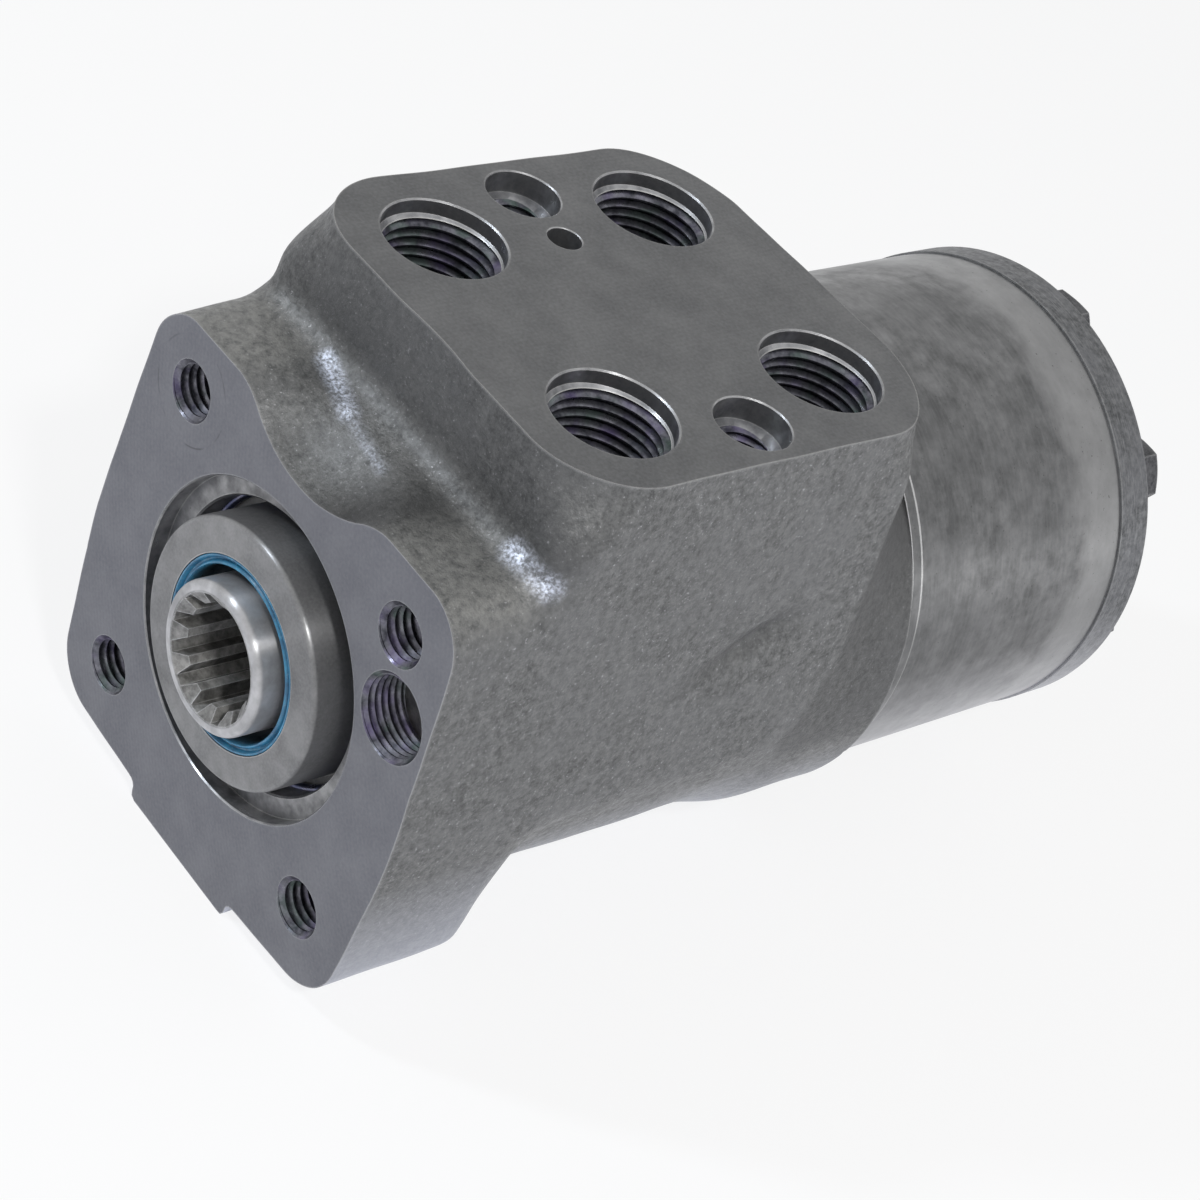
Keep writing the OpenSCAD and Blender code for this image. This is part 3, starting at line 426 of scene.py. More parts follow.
class Finish:
    """The nodes of one surface finish. Lengths are in millimetres."""

    def __init__(self, name, metallic, roughness, specular=0.5):
        self.material = bpy.data.materials.get(name) or bpy.data.materials.new(name)
        self.material.use_nodes = True
        self.tree = self.material.node_tree
        self.shader = self.tree.nodes["Principled BSDF"]
        self.shader.inputs["Metallic"].default_value = metallic
        self.shader.inputs["Roughness"].default_value = roughness
        self.shader.inputs["Specular IOR Level"].default_value = specular
        self.place = self.node("ShaderNodeTexCoord").outputs["Object"]

    def node(self, kind, **settings):
        made = self.tree.nodes.new(kind)
        for key, value in settings.items():
            setattr(made, key, value)
        return made

    def feed(self, value, socket):
        if isinstance(value, bpy.types.NodeSocket):
            self.tree.links.new(value, socket)
        else:
            socket.default_value = value

    def sums(self, operation, a, b=0.0):
        made = self.node("ShaderNodeMath", operation=operation)
        self.feed(a, made.inputs[0])
        self.feed(b, made.inputs[1])
        return made.outputs[0]

    def times(self, a, b):
        return self.sums("MULTIPLY", a, b)

    def grain(self, size, detail=3, rough=0.6, stretch=(1, 1, 1), shift=(0, 0, 0)):
        """Cloudy noise whose blotches are about size across."""
        mapping = self.node("ShaderNodeMapping")
        mapping.inputs["Scale"].default_value = stretch
        mapping.inputs["Location"].default_value = shift
        self.feed(self.place, mapping.inputs["Vector"])
        noise = self.node("ShaderNodeTexNoise")
        noise.inputs["Scale"].default_value = 1 / (size * MM)
        noise.inputs["Detail"].default_value = detail
        noise.inputs["Roughness"].default_value = rough
        self.feed(mapping.outputs[0], noise.inputs["Vector"])
        return noise.outputs["Fac"]

    def band(self, value, low, high, at_low=0.0, at_high=1.0):
        """The value stretched so that low to high runs from at_low to at_high."""
        made = self.node("ShaderNodeMapRange")
        self.feed(value, made.inputs["Value"])
        limits = {"From Min": low, "From Max": high, "To Min": at_low, "To Max": at_high}
        for socket, number in limits.items():
            made.inputs[socket].default_value = number
        return made.outputs["Result"]

    def tone(self, factor, dark, light):
        made = self.node("ShaderNodeMix", data_type="RGBA")
        self.feed(factor, made.inputs["Factor"])
        self.feed((*dark, 1) if isinstance(dark, tuple) else dark, made.inputs["A"])
        self.feed((*light, 1) if isinstance(light, tuple) else light, made.inputs["B"])
        return made.outputs["Result"]

    def along(self, axis):
        """Place along an axis."""
        parts = self.node("ShaderNodeSeparateXYZ")
        self.feed(self.place, parts.inputs[0])
        return self.times(parts.outputs[axis], 1 / MM)

    def fade(self, axis, start, end, at_start=0.0, at_end=1.0):
        """Runs from at_start to at_end between two places on an axis."""
        return self.band(self.along(axis), start, end, at_start, at_end)

    def away(self, centre):
        """Distance from the line along Y through centre, which is in metres. Its Y is added at a right angle."""
        mapping = self.node("ShaderNodeMapping", vector_type="POINT")
        mapping.inputs["Location"].default_value = [-c / MM for c in centre]
        mapping.inputs["Scale"].default_value = (1 / MM, 0, 1 / MM)
        self.feed(self.place, mapping.inputs["Vector"])
        length = self.node("ShaderNodeVectorMath", operation="LENGTH")
        self.feed(mapping.outputs[0], length.inputs[0])
        return length.outputs["Value"]

    def streak(self, start, end, width):
        """1 on the line between two points, 0 at the width from it."""
        mapping = self.node("ShaderNodeMapping", vector_type="POINT")
        mapping.inputs["Location"].default_value = [-v for v in start]
        mapping.inputs["Scale"].default_value = [1 / MM] * 3
        self.feed(self.place, mapping.inputs["Vector"])
        reach = Vector(end) - Vector(start)
        share = self.node("ShaderNodeVectorMath", operation="DOT_PRODUCT")
        share.inputs[1].default_value = reach / reach.length_squared
        self.feed(mapping.outputs[0], share.inputs[0])
        nearest = self.node("ShaderNodeVectorMath", operation="SCALE")
        nearest.inputs[0].default_value = reach
        self.feed(self.band(share.outputs["Value"], 0, 1), nearest.inputs["Scale"])
        rest = self.node("ShaderNodeVectorMath", operation="DISTANCE")
        self.feed(mapping.outputs[0], rest.inputs[0])
        self.feed(nearest.outputs[0], rest.inputs[1])
        return self.band(rest.outputs["Value"], width, 0)

    def edges(self, radius):
        """1 on edges worn over about the radius, 0 on flat faces."""
        bevel = self.node("ShaderNodeBevel", samples=4)
        bevel.inputs["Radius"].default_value = radius * MM
        geometry = self.node("ShaderNodeNewGeometry")
        dot = self.node("ShaderNodeVectorMath", operation="DOT_PRODUCT")
        self.feed(bevel.outputs[0], dot.inputs[0])
        self.feed(geometry.outputs["Normal"], dot.inputs[1])
        return self.band(dot.outputs["Value"], 0.97, 0.8)

    def worn(self, colour, radius, share, bare):
        """The colour with a share of bare metal along the edges."""
        return self.tone(self.times(self.edges(radius), share), colour, bare)

    def rounds(self, centre, scale):
        """Marks of turning in circles round an axis through centre."""
        marks = self.node("ShaderNodeTexNoise", noise_dimensions="1D")
        marks.inputs["Scale"].default_value = scale
        self.feed(self.away(centre), marks.inputs["W"])
        return marks.outputs["Fac"]

    def relief(self, height, depth, after=None):
        """Bumps of the depth, on top of those made before."""
        made = self.node("ShaderNodeBump")
        made.inputs["Distance"].default_value = depth * MM
        self.feed(height, made.inputs["Height"])
        if after is not None:
            self.feed(after, made.inputs["Normal"])
        return made.outputs[0]

    def turned(self, strength):
        """Draws highlights out across the marks of turning about the spool axis."""
        self.shader.inputs["Anisotropic"].default_value = strength
        self.shader.inputs["Anisotropic Rotation"].default_value = 0.25
        tangent = self.node("ShaderNodeTangent", direction_type="RADIAL", axis="Y")
        self.feed(tangent.outputs[0], self.shader.inputs["Tangent"])

    def done(self, colour, roughness, normal):
        self.feed(colour, self.shader.inputs["Base Color"])
        self.feed(roughness, self.shader.inputs["Roughness"])
        self.feed(normal, self.shader.inputs["Normal"])


# Skin of the casting: grey iron as it left the sand, with pale and dark grains about a millimetre across
# over broad cloudy tones. Painted shade darkens it behind the edges of the side walls, in a hollow of the
# right wall, on the front wall of the port block and at an end of the scoop. Painted light makes the boss
# tops paler and the lower parts pale and bluish, and painted bluish-white highlights lie on the fillets in
# front of the port block.
skin = Finish("cast_iron", 0.5, 0.5)
# Near-black for painted shade on the casting and for the real dark specks on the rings.
SHADE_AND_SPECK_DARK = (0.05, 0.05, 0.05)
coarse = skin.grain(1.5, 5, 0.72)
fine = skin.grain(0.5, 2, 0.6)
clouds = skin.grain(11, 3, 0.5)
pale = skin.band(skin.sums("ADD", skin.times(coarse, 0.7), skin.times(fine, 0.3)), 0.36, 0.66)
colour = skin.tone(pale, (0.053, 0.054, 0.053), (0.172, 0.172, 0.168))
colour = skin.tone(skin.band(clouds, 0.38, 0.66, 0, 0.5), colour, (0.138, 0.139, 0.138))
colour = skin.tone(skin.band(fine, 0.66, 0.74, 0, 0.6), colour, (0.42, 0.42, 0.43))
# Painted shade on the fall behind the edges of the side walls, which faces away from the light.
behind_shade = skin.sums("SUBTRACT", skin.along("Y"), skin.fade("Z", -4, 12, 83, WALL_END_Y))
behind_shade = skin.times(skin.band(behind_shade, -0.5, 1.5), skin.fade("Z", -12, -5))
behind_shade = skin.times(behind_shade, skin.fade("Z", 56, 51))
colour = skin.tone(skin.times(behind_shade, skin.fade("Z", 5, 32, 0.5, 0.8)), colour, SHADE_AND_SPECK_DARK)
# Painted shade in the shallow hollow of the right side wall.
HOLLOW_Y, HOLLOW_Z, HOLLOW_HALF_L, HOLLOW_HALF_W = 62.8, 19.1, 15.0, 3.0
u = skin.sums("SUBTRACT", skin.along("Y"), HOLLOW_Y)
v = skin.sums("SUBTRACT", skin.along("Z"), HOLLOW_Z)
cosine, sine = HOLLOW_ALONG
across = skin.sums("SUBTRACT", skin.times(v, cosine), skin.times(u, sine))
across = skin.sums("DIVIDE", across, HOLLOW_HALF_W)
length = skin.sums("ADD", skin.times(u, cosine), skin.times(v, sine))
length = skin.sums("DIVIDE", length, HOLLOW_HALF_L)
hollow = skin.sums("ADD", skin.times(across, across), skin.times(length, length))
hollow = skin.times(skin.band(hollow, 1.5, 0.1), skin.fade("X", *RIGHT_WALL))
colour = skin.tone(skin.times(hollow, 0.42), colour, SHADE_AND_SPECK_DARK)
# Painted shade on the front wall of the port block, below the boss tops.
front_wall_shade = skin.times(skin.fade("Y", 24, 17), skin.fade("Z", 42, 45.5))
colour = skin.tone(skin.times(front_wall_shade, 0.4), colour, (0.035, 0.035, 0.036))
colour = skin.worn(colour, 0.9, 0.5, (0.38, 0.38, 0.37))
# Painted shade at the right end of the scoop, where it meets the column face.
scoop_end_shade = skin.streak((9, -1, 35), (18.8, 10.5, 41.3), 9)
colour = skin.tone(skin.times(scoop_end_shade, 0.75), colour, (0.03, 0.03, 0.03))
# Painted light: the tops of the upper bosses paler, broken by the grain.
lit_tops = skin.times(skin.fade("Y", 16, 11), skin.fade("Z", 36, 39))
lit_tops = skin.times(lit_tops, skin.band(skin.sums("ABSOLUTE", skin.along("X")), 16, 23))
colour = skin.tone(skin.times(lit_tops, skin.band(coarse, 0.35, 0.6, 0.1, 0.55)), colour, (0.27, 0.268, 0.25))
# Painted light from the ground: paler and bluish towards the bottom.
colour = skin.tone(skin.fade("Z", -12, -42, 0, 0.85), colour, (0.4, 0.41, 0.45))
# Painted bluish-white highlights along the fillets in front of the port block, broken by the grain; they also
# make the skin glossier there.
left_fillet_glint = skin.streak((-17.5, 13.7, 42.2), (-6, 10.9, 40.8), 2.5)
left_glint_tail = skin.times(skin.streak((-6, 10.9, 40.8), (6, 9.1, 39.8), 1.8), 0.4)
right_fillet_glint = skin.streak((31, 15.2, 42.8), (37.5, 17.1, 41.7), 3.4)
painted_glint = skin.sums("MAXIMUM", skin.sums("MAXIMUM", left_fillet_glint, right_fillet_glint), left_glint_tail)
painted_glint = skin.sums("POWER", painted_glint, 1.5)
painted_glint = skin.times(painted_glint, skin.band(fine, 0.38, 0.62, 0.25, 1.3))
painted_glint = skin.times(painted_glint, skin.band(coarse, 0.36, 0.54, 0.3, 1))
colour = skin.tone(painted_glint, colour, (0.68, 0.73, 0.85))
gloss = skin.sums("SUBTRACT", skin.band(coarse, 0.3, 0.7, 0.54, 0.38), skin.times(painted_glint, 0.12))
skin.done(colour, gloss, skin.relief(fine, 0.06, skin.relief(coarse, 0.18)))

# Milled faces of the housing: bare iron, even and satin, with faint sweeping tool marks and bright thin
# edges. Round one of the column holes a screw head has left a faded ring.
milled = Finish("milled_iron", 0.55, 0.42)
clouds = milled.grain(9, 3, 0.55)
fine = milled.grain(0.6, 3, 0.6)
sweep = milled.node("ShaderNodeMath", operation="SINE")
milled.feed(milled.times(milled.away((0.19, 0.05, 0.11)), 7.0), sweep.inputs[0])
colour = milled.tone(milled.band(clouds, 0.35, 0.68), (0.08, 0.081, 0.082), (0.107, 0.108, 0.108))
# Painted bluish light on the column face, strongest at its front.
colour = milled.tone(milled.fade("Y", 8, 2, 0, 0.22), colour, (0.2, 0.205, 0.26))
colour = milled.tone(milled.band(fine, 0.35, 0.7, 0, 0.16), colour, (0.28, 0.28, 0.29))
SCREW_HEAD_R = 9.1
mark = milled.sums("SUBTRACT", milled.away((-0.0292, 0, 0.0292)), SCREW_HEAD_R)
mark = milled.band(milled.sums("ABSOLUTE", mark), 0.22, 0.05, 0, 0.7)
mark = milled.times(mark, milled.band(milled.grain(7, 2), 0.48, 0.62))
mark = milled.times(mark, milled.fade("Z", 41, 39))
colour = milled.tone(mark, colour, (0.05, 0.05, 0.055))
colour = milled.worn(colour, 0.5, 0.55, (0.55, 0.54, 0.52))
normal = milled.relief(fine, 0.012, milled.relief(sweep.outputs[0], 0.004))
milled.done(colour, milled.band(clouds, 0.35, 0.7, 0.46, 0.38), normal)

# Bored and counterbored walls of the housing: bare iron, bright, with fine turning rings, a dull oil film
# in patches, and painted shade in the corner of the front recess.
bored = Finish("bored_iron", 0.85, 0.34)
film = bored.grain(3.5, 4, 0.6)
rings = bored.grain(0.35, 2, 0.5, (0.04, 1, 0.04))
colour = bored.tone(bored.band(film, 0.35, 0.65), (0.16, 0.162, 0.17), (0.34, 0.342, 0.35))
# Painted shade in the corner of the front recess.
recess_shade = bored.times(bored.band(bored.away((0, 0, 0)), 23.4, 24.1), bored.fade("Y", 4.4, 3.8))
colour = bored.tone(bored.times(recess_shade, 0.15), colour, (0.055, 0.053, 0.05))
colour = bored.worn(colour, 0.4, 0.6, (0.7, 0.7, 0.68))
bored.done(colour, bored.band(film, 0.3, 0.7, 0.48, 0.26), bored.relief(rings, 0.012))

# Threads of the housing: tapped in the iron, dark and wet with the oil of the tap, which shows a violet to
# green sheen where it catches the light.
threads = Finish("thread_iron", 0.9, 0.32)
film = threads.grain(2.2, 4, 0.65)
tint = threads.grain(4.5, 2, 0.5, shift=(0.02, 0.01, 0))
colour = threads.tone(threads.band(film, 0.35, 0.68), (0.035, 0.036, 0.045), (0.2, 0.2, 0.23))
colour = threads.tone(threads.band(tint, 0.52, 0.7, 0, 0.35), colour, (0.15, 0.11, 0.26))
colour = threads.tone(threads.band(tint, 0.46, 0.34, 0, 0.4), colour, (0.08, 0.13, 0.1))
threads.done(colour, threads.band(film, 0.3, 0.7, 0.42, 0.24), threads.relief(film, 0.02))


def dress(finish, *names):
    """Gives CAD nodes a finish in place of their own."""
    for name in names:
        nodes[name].data.materials.clear()
        nodes[name].data.materials.append(finish.material)


gland = Finish("ground_gland_steel", 0.75, 0.36)
stain = gland.grain(6, 4, 0.6)
fine = gland.grain(0.5, 3, 0.6)
colour = gland.tone(gland.band(stain, 0.35, 0.68), (0.15, 0.15, 0.152), (0.225, 0.225, 0.227))
colour = gland.tone(gland.band(fine, 0.35, 0.7, 0, 0.25), colour, (0.36, 0.36, 0.35))
colour = gland.worn(colour, 0.5, 0.5, (0.7, 0.7, 0.68))
normal = gland.relief(fine, 0.01, gland.relief(gland.rounds((0, 0, 0), 3.0), 0.008))
gland.done(colour, gland.band(stain, 0.3, 0.7, 0.45, 0.32), normal)
gland.turned(0.8)
dress(gland, "gland_ring")

# Dust seal: a moulded blue rubber ring with a thin lip on the spool, lightly oiled, so that its ribs carry
# a thin wet line and dust sits in its groove. It is pressed into the gland ring.
rubber = Finish("blue_dust_seal", 0.0, 0.38, 0.55)
patches = rubber.grain(2.5, 3, 0.6)
dust = rubber.grain(0.4, 2, 0.6)
LIP_START_R, LIP_R = 14.45, 14.25
colour = rubber.tone(rubber.band(patches, 0.35, 0.7), (0.014, 0.085, 0.16), (0.03, 0.2, 0.32))
colour = rubber.tone(rubber.band(dust, 0.6, 0.75, 0, 0.35), colour, (0.3, 0.42, 0.46))
# Painted shade: the inner lip, deep in the gap round the spool, is near-black.
colour = rubber.tone(rubber.band(rubber.away((0, 0, 0)), LIP_START_R, LIP_R), colour, (0.012, 0.02, 0.025))
rubber.done(colour, rubber.band(patches, 0.3, 0.7, 0.46, 0.26), rubber.relief(dust, 0.02))
SEAL_PROFILE = [(16.2, -2.75), (16.05, -2.95), (15.8, -2.95), (15.6, -2.7), (15.45, -2.2), (15.2, -2.1),
                (15.0, -2.35), (14.85, -2.75), (14.6, -2.85), (14.4, -2.6), (14.3, -1.6), (14.2, 0.6),
                (14.0, 1.5), (13.3, 1.9), (12.8, 2.2), (12.8, 2.5), (13.6, 2.7), (16.2, 2.7)]


def turned_ring(name, profile, segments=144):
    """A ring about the spool axis from a closed (radius, Y) profile."""
    vertices, faces, count = [], [], len(profile)
    for i in range(segments):
        a = 2 * math.pi * i / segments
        vertices += [(r * math.cos(a), y, r * math.sin(a)) for r, y in profile]
    for i in range(segments):
        j = (i + 1) % segments
        faces += [(i * count + k, j * count + k, j * count + (k + 1) % count, i * count + (k + 1) % count)
                  for k in range(count)]
    ring = new_object(name, vertices, faces)
    smoothed(ring, 50)
    return ring


seal = turned_ring("blue_dust_seal", SEAL_PROFILE)
seal.data.materials.append(rubber.material)
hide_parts("dust_seal")
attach(seal, "housing")

# Spool: hardened steel, ground bright outside and on its face, with an oily broached spline inside whose
# flanks are worn dark by the column's stub.
SPLINE_R = 10.6
spool = Finish("ground_spool_steel", 0.95, 0.24)
smear = spool.grain(4, 4, 0.6)
fine = spool.grain(0.3, 2, 0.5, (0.1, 1, 0.1))
oil = spool.grain(1.6, 4, 0.65)
colour = spool.tone(spool.band(smear, 0.35, 0.68), (0.32, 0.32, 0.325), (0.52, 0.52, 0.53))
flanks = spool.tone(spool.band(oil, 0.36, 0.66), (0.085, 0.083, 0.075), (0.27, 0.265, 0.25))
inside = spool.times(spool.band(spool.away((0, 0, 0)), SPLINE_R + 0.5, SPLINE_R + 0.2), 0.92)
colour = spool.tone(inside, colour, flanks)
colour = spool.worn(colour, 0.35, 0.55, (0.8, 0.8, 0.8))
gloss = spool.sums("ADD", spool.band(smear, 0.3, 0.7, 0.42, 0.3), spool.times(inside, 0.14))
spool.feed(spool.band(inside, 0, 1, 0.8, 0.35), spool.shader.inputs["Metallic"])
spool.done(colour, gloss, spool.relief(oil, 0.012, spool.relief(fine, 0.004)))
spool.turned(0.9)
dress(spool, "spool")

# Sleeve, spring ring, bearing races, needles, cross pin, rotor and check ball: hardened and ground steel,
# bright under a film of oil. They run in the housing's bore and are assembled wet.
steel = Finish("oiled_ground_steel", 0.95, 0.26)
smear = steel.grain(5, 4, 0.6)
fine = steel.grain(0.3, 2, 0.5, (0.15, 1, 0.15))
colour = steel.tone(steel.band(smear, 0.33, 0.68), (0.3, 0.3, 0.31), (0.55, 0.55, 0.56))
colour = steel.worn(colour, 0.4, 0.5, (0.75, 0.75, 0.74))
steel.done(colour, steel.band(smear, 0.3, 0.7, 0.34, 0.2), steel.relief(fine, 0.005))
dress(steel, "sleeve", "spring_ring", "outer_race", "inner_race", "thrust_needles", "cross_pin", "rotor",
      "check_ball")

# Drive shaft and rotor spacer: case-hardened steel, turned and then left dark by the furnace, with bright
# rubbed spots. The shaft links the cross pin to the rotor.
dark_steel = Finish("hardened_shaft_steel", 0.85, 0.38)
scale = dark_steel.grain(3, 4, 0.65)
colour = dark_steel.tone(dark_steel.band(scale, 0.35, 0.7), (0.09, 0.09, 0.1), (0.26, 0.26, 0.27))
colour = dark_steel.worn(colour, 0.5, 0.7, (0.6, 0.6, 0.6))
dark_steel.done(colour, dark_steel.band(scale, 0.3, 0.7, 0.48, 0.3), dark_steel.relief(scale, 0.02))
dress(dark_steel, "drive_shaft", "rotor_spacer")

# Leaf springs and retaining wire: blued spring steel, punched or bent cold and rubbed bright along the
# edges. The springs lie in slots through sleeve and spool, and the wire snaps into a groove of the bore.
blued = Finish("blued_spring_steel", 0.9, 0.3)
heat = blued.grain(3.5, 3, 0.55)
colour = blued.tone(blued.band(heat, 0.35, 0.68), (0.07, 0.09, 0.2), (0.2, 0.2, 0.27))
colour = blued.worn(colour, 0.3, 0.6, (0.55, 0.55, 0.55))
blued.done(colour, blued.band(heat, 0.3, 0.7, 0.38, 0.24), blued.relief(heat, 0.004))
dress(blued, "curved_springs", "flat_springs", "retaining_ring")

# Needle cage: stamped brass, dull between bright rubbed spots. It keeps the needles of the thrust bearing
# apart and turns with them between the two races.
brass = Finish("cage_brass", 0.9, 0.36)
rub = brass.grain(2.5, 4, 0.6)
colour = brass.tone(brass.band(rub, 0.35, 0.68), (0.28, 0.2, 0.08), (0.62, 0.48, 0.24))
brass.done(colour, brass.band(rub, 0.3, 0.7, 0.46, 0.28), brass.relief(rub, 0.01))
dress(brass, "needle_cage")

# Shaft seal: an ivory plastic ring with a turned lip, pressed on the spool by the rubber ring round it. It
# sits in a groove of the gland ring, behind the dust seal.
plastic = Finish("ivory_shaft_seal", 0.0, 0.42)
tint = plastic.grain(3, 3, 0.6)
colour = plastic.tone(plastic.band(tint, 0.35, 0.68), (0.38, 0.33, 0.2), (0.52, 0.47, 0.32))
plastic.done(colour, plastic.band(tint, 0.3, 0.7, 0.5, 0.36), plastic.relief(tint, 0.006))
dress(plastic, "shaft_seal")

# O-rings and the shaft seal's energiser: moulded black rubber, matt with a fine grain and a greyish bloom.
# They lie in grooves of the gland ring, the housing and the gear ring.
black = Finish("black_seal_rubber", 0.0, 0.5)
bloom = black.grain(1.8, 4, 0.6)
colour = black.tone(black.band(bloom, 0.35, 0.7), (0.012, 0.012, 0.014), (0.04, 0.04, 0.043))
black.done(colour, black.band(bloom, 0.3, 0.7, 0.6, 0.4), black.relief(bloom, 0.02))
dress(black, "seal_energiser", "gland_oring", "housing_oring", "ring_front_oring", "ring_rear_oring")

# Check valve bush: a turned steel bush screwed into the tapped hole beside the recess, its face bright
# round the bore and slightly oily.
bush = Finish("check_bush_steel", 0.85, 0.3)
smear = bush.grain(2.5, 4, 0.6)
colour = bush.tone(bush.band(smear, 0.35, 0.68), (0.3, 0.3, 0.29), (0.62, 0.61, 0.57))
colour = bush.worn(colour, 0.35, 0.6, (0.85, 0.84, 0.8))
normal = bush.relief(bush.rounds((0.0333, 0, 0.0162), 6.0), 0.01)
bush.done(colour, bush.band(smear, 0.3, 0.7, 0.4, 0.26), normal)
dress(bush, "check_bush")

# Distributor plate and gear ring: ground steel rings clamped behind the housing. The surface is cloudy and
# lightly etched, with tiny dark spots, faint streaks from the grinding wheel, a painted highlight along part
# of the front edge, a paler belt round the rear end and a pale underside from painted light.
ring = Finish("ground_ring_steel", 0.85, 0.36)
clouds = ring.grain(5, 5, 0.66)
broad = ring.grain(18, 3, 0.5)
streaks = ring.grain(1.2, 3, 0.6, (0.25, 1.6, 0.25))
specks = ring.grain(0.55, 2, 0.5)
colour = ring.tone(ring.band(clouds, 0.34, 0.68), (0.09, 0.091, 0.092), (0.19, 0.191, 0.193))
colour = ring.tone(ring.band(broad, 0.4, 0.65, 0, 0.5), colour, (0.09, 0.091, 0.093))
colour = ring.tone(ring.band(streaks, 0.42, 0.66, 0, 0.1), colour, (0.34, 0.34, 0.34))
belt = ring.sums("ADD", ring.along("Y"), ring.band(broad, 0.3, 0.7, -4, 4))
colour = ring.tone(ring.band(belt, 148, 153, 0, 0.5), colour, (0.33, 0.33, 0.33))
# Painted light from the ground: paler towards the bottom.
colour = ring.tone(ring.fade("Z", 2, -20, 0, 0.7), colour, (0.42, 0.42, 0.44))
colour = ring.tone(ring.band(specks, 0.3, 0.24, 0, 0.8), colour, SHADE_AND_SPECK_DARK)
colour = ring.worn(colour, 0.4, 0.45, (0.6, 0.6, 0.58))
# Painted highlight: a nearly white line on the front edges of plate and gear ring, only at some heights.
front_edge_glint = ring.times(ring.fade("Y", 111, 110), ring.fade("Z", 8, 26, 0, 0.8))
colour = ring.tone(ring.times(front_edge_glint, ring.edges(0.6)), colour, (0.95, 0.95, 0.95))
scratch = ring.streak((38.5, 126.5, 37.5), (38.6, 126.6, 37.5), 0.8)
colour = ring.tone(scratch, colour, (0.7, 0.7, 0.7))
normal = ring.relief(streaks, 0.004, ring.relief(clouds, 0.02))
ring.done(colour, ring.band(clouds, 0.3, 0.7, 0.42, 0.3), normal)
dress(ring, "distributor_plate", "gear_ring")

# End cover: a dark steel disc that closes the gear ring, with a rough rim that was sawn and turned and
# keeps the streaks of the tool. Painted light from the ground makes its lower rim pale.
cover = Finish("dark_cover_steel", 0.55, 0.46)
rough = cover.grain(1.3, 5, 0.7)
broad = cover.grain(8, 3, 0.5)
lay = cover.grain(0.7, 3, 0.6, (0.2, 2.5, 0.2))
colour = cover.tone(cover.band(rough, 0.36, 0.66), (0.05, 0.052, 0.054), (0.15, 0.152, 0.156))
colour = cover.tone(cover.band(broad, 0.4, 0.65, 0, 0.5), colour, (0.15, 0.152, 0.16))
colour = cover.tone(cover.band(lay, 0.5, 0.72, 0, 0.4), colour, (0.28, 0.28, 0.28))
colour = cover.worn(colour, 0.8, 0.55, (0.4, 0.4, 0.39))
# Painted light from the ground: paler towards the bottom.
colour = cover.tone(cover.fade("Z", 4, -22, 0, 0.8), colour, (0.4, 0.4, 0.41))
normal = cover.relief(lay, 0.04, cover.relief(rough, 0.08))
cover.done(colour, cover.band(rough, 0.3, 0.7, 0.55, 0.4), normal)
dress(cover, "end_cover")

# Cover screws, the pin screw and their washers: cold-forged and phosphated steel, nearly black, rubbed grey
# on the hexagons' edges by the wrench.
phosphate = Finish("phosphated_screw_steel", 0.6, 0.5)
crystals = phosphate.grain(0.8, 5, 0.7)
broad = phosphate.grain(4, 3, 0.5)
colour = phosphate.tone(phosphate.band(crystals, 0.35, 0.7), (0.028, 0.029, 0.032), (0.1, 0.1, 0.105))
colour = phosphate.tone(phosphate.band(broad, 0.45, 0.65, 0, 0.35), colour, (0.13, 0.13, 0.135))
colour = phosphate.worn(colour, 0.7, 0.7, (0.36, 0.36, 0.36))
phosphate.done(colour, phosphate.band(crystals, 0.3, 0.7, 0.6, 0.42), phosphate.relief(crystals, 0.03))
dress(phosphate, "cover_washers", "cover_screws", "pin_screw")

# Studio: a white ground that also lights the part from below, a plain sky that is brighter overhead, a
# bluish softbox at the front left and two white ones at the right. Camera, mirror and glass rays see plain
# white, and the ground still takes the part's shadow.
GROUND_Z, GROUND_HALF = -0.0464, 4
SKY_SIDE = (0.12, 0.42, 0.9)


def linked(tree, kind, *sources):
    """A new shader node with its first inputs linked to the sources."""
    made = tree.nodes.new(kind)
    for source, socket in zip(sources, made.inputs):
        tree.links.new(source, socket)
    return made


def seen_directly(tree):
    """1 for the rays from the camera, off mirrors and through glass, 0 for all others."""
    path = tree.nodes.new("ShaderNodeLightPath")
    seen = path.outputs["Is Camera Ray"]
    for kind in ("Is Glossy Ray", "Is Transmission Ray"):
        either = linked(tree, "ShaderNodeMath", seen, path.outputs[kind])
        either.operation = "MAXIMUM"
        seen = either.outputs[0]
    return seen


corners = [(x * GROUND_HALF, y * GROUND_HALF, GROUND_Z) for x, y in ((-1, -1), (1, -1), (1, 1), (-1, 1))]
floor_mesh = bpy.data.meshes.new("floor")
floor_mesh.from_pydata(corners, [], [(0, 1, 2, 3)])
floor = bpy.data.objects.new("floor", floor_mesh)
bpy.context.scene.collection.objects.link(floor)
ground = bpy.data.materials.new("white_ground")
ground.use_nodes = True
tree = ground.node_tree
paper = tree.nodes["Principled BSDF"]
paper.inputs["Base Color"].default_value = (0.9, 0.9, 0.9, 1)
paper.inputs["Roughness"].default_value = 0.9
white = tree.nodes.new("ShaderNodeEmission")
white.inputs["Strength"].default_value = 1.0
glow = tree.nodes.new("ShaderNodeEmission")
glow.inputs["Color"].default_value = (0.88, 0.93, 1.12, 1)
glow.inputs["Strength"].default_value = 1.25
lit = linked(tree, "ShaderNodeAddShader", paper.outputs[0], glow.outputs[0])
shaded = tree.nodes.new("ShaderNodeMixShader")
shaded.inputs["Fac"].default_value = 0.8
tree.links.new(paper.outputs[0], shaded.inputs[1])
tree.links.new(white.outputs[0], shaded.inputs[2])
blend = linked(tree, "ShaderNodeMixShader", seen_directly(tree), lit.outputs[0], shaded.outputs[0])
tree.links.new(blend.outputs[0], tree.nodes["Material Output"].inputs["Surface"])
floor_mesh.materials.append(ground)

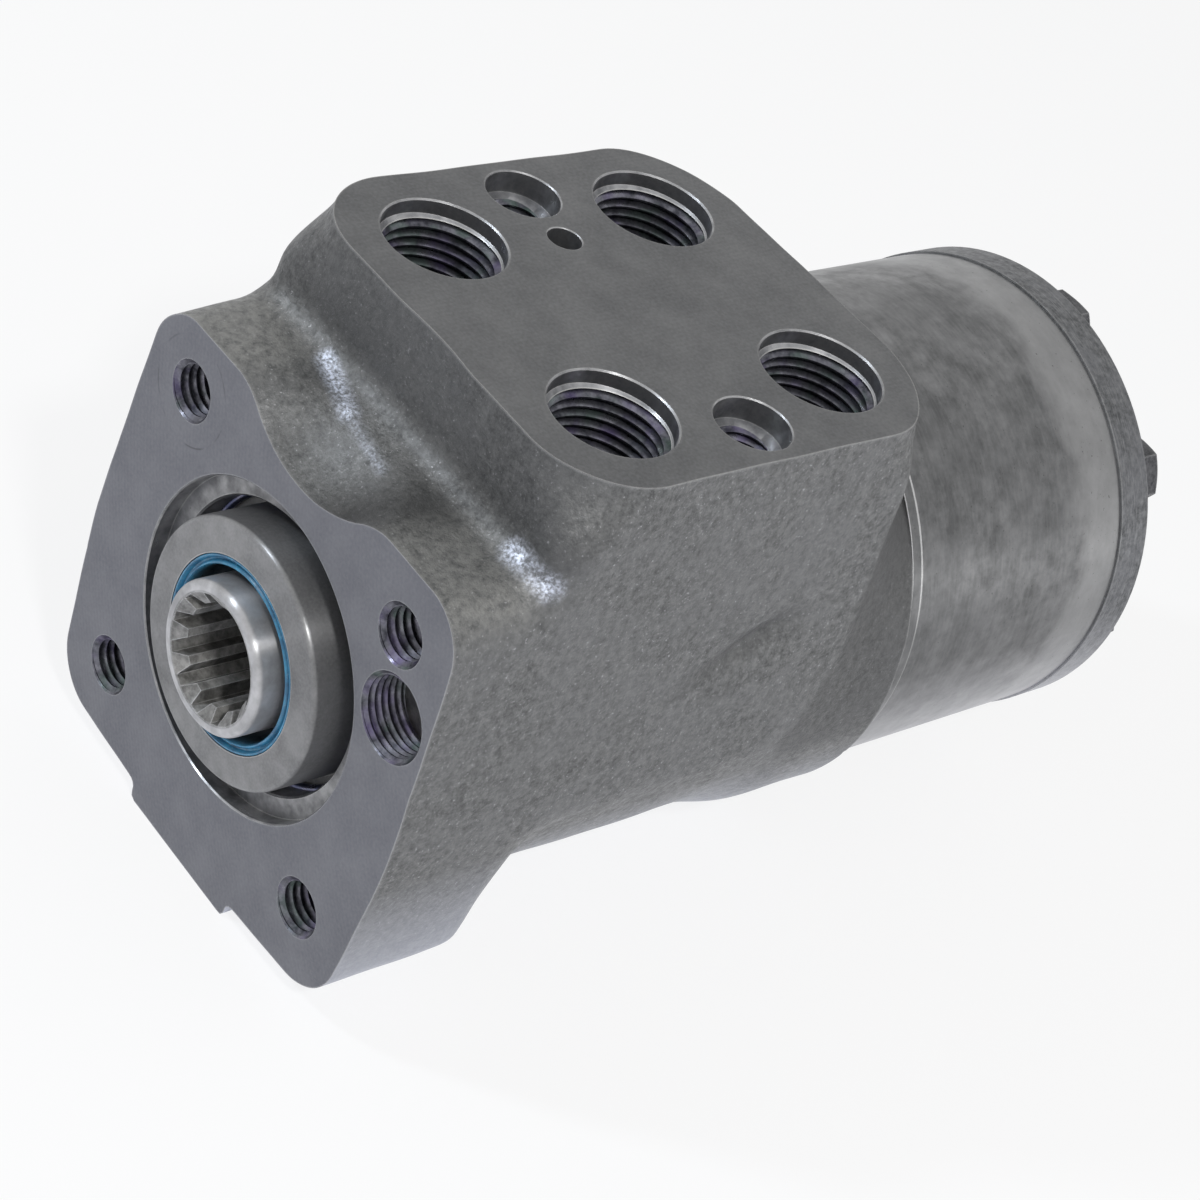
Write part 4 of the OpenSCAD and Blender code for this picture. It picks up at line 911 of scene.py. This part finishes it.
world = bpy.data.worlds.new("studio")
bpy.context.scene.world = world
world.use_nodes = True
tree = world.node_tree
sky = tree.nodes["Background"]
sky.inputs["Strength"].default_value = 1.0
white = tree.nodes.new("ShaderNodeBackground")
white.inputs["Color"].default_value = (1, 1, 1, 1)
white.inputs["Strength"].default_value = 1.0
toward = tree.nodes.new("ShaderNodeTexCoord")
height = linked(tree, "ShaderNodeVectorMath", toward.outputs["Generated"])
height.operation = "DOT_PRODUCT"
height.inputs[1].default_value = SKY_SIDE
rise = linked(tree, "ShaderNodeMapRange", height.outputs["Value"])
rise.inputs["From Min"].default_value = -0.3
rise.inputs["From Max"].default_value = 0.9
shade = tree.nodes.new("ShaderNodeMix")
shade.data_type = "RGBA"
shade.inputs["A"].default_value = (0.1, 0.1, 0.1, 1)
shade.inputs["B"].default_value = (0.62, 0.62, 0.63, 1)
tree.links.new(rise.outputs["Result"], shade.inputs["Factor"])
tree.links.new(shade.outputs["Result"], sky.inputs["Color"])
blend = linked(tree, "ShaderNodeMixShader", seen_directly(tree), sky.outputs[0], white.outputs[0])
tree.links.new(blend.outputs[0], tree.nodes["World Output"].inputs["Surface"])


def softbox(name, place, aim, size, power, colour=(1, 1, 1)):
    light = bpy.data.lights.new(name, "AREA")
    light.shape = "DISK"
    light.size = size
    light.energy = power
    light.color = colour
    lamp = bpy.data.objects.new(name, light)
    lamp.location = place
    lamp.rotation_euler = (Vector(aim) - Vector(place)).to_track_quat("-Z", "Y").to_euler()
    bpy.context.scene.collection.objects.link(lamp)


softbox("front_left", (-0.49, -0.56, 0.66), (0, 0.03, 0.02), 0.1, 3.2, (0.82, 0.9, 1.0))
softbox("front_right", (0.47, -0.24, 0.6), (0, 0, 0), 0.08, 2.4)
softbox("rear_right", (0.62, 0.52, 0.03), (0, 0.05, 0), 0.2, 0.5)

# Camera: placed by a fit to the four column holes, the square of the ports and the outline in the
# photograph, so that it has the photograph's angle, perspective and frame.
RIGHT = Vector((0.58893937, 0.74220221, 0.3198223))
DOWN = Vector((0.64341715, -0.19113208, -0.74127114))
FORWARD = Vector((-0.48904478, 0.64234291, -0.59011084))
EYE = Vector((0.25190, -0.25176, 0.29437))
FOCAL_PIXELS, PHOTO_PIXELS, SENSOR = 2932.2, 1200, 36
camera_data = bpy.data.cameras.new("camera")
camera = bpy.data.objects.new("camera", camera_data)
bpy.context.scene.collection.objects.link(camera)
rows = [(RIGHT[i], -DOWN[i], -FORWARD[i], EYE[i]) for i in range(3)]
camera.matrix_world = Matrix((*rows, (0, 0, 0, 1)))
camera_data.sensor_width = SENSOR
camera_data.lens = FOCAL_PIXELS / PHOTO_PIXELS * SENSOR
camera_data.clip_start = 0.01
bpy.context.scene.camera = camera
bpy.context.scene.view_settings.view_transform = "Standard"
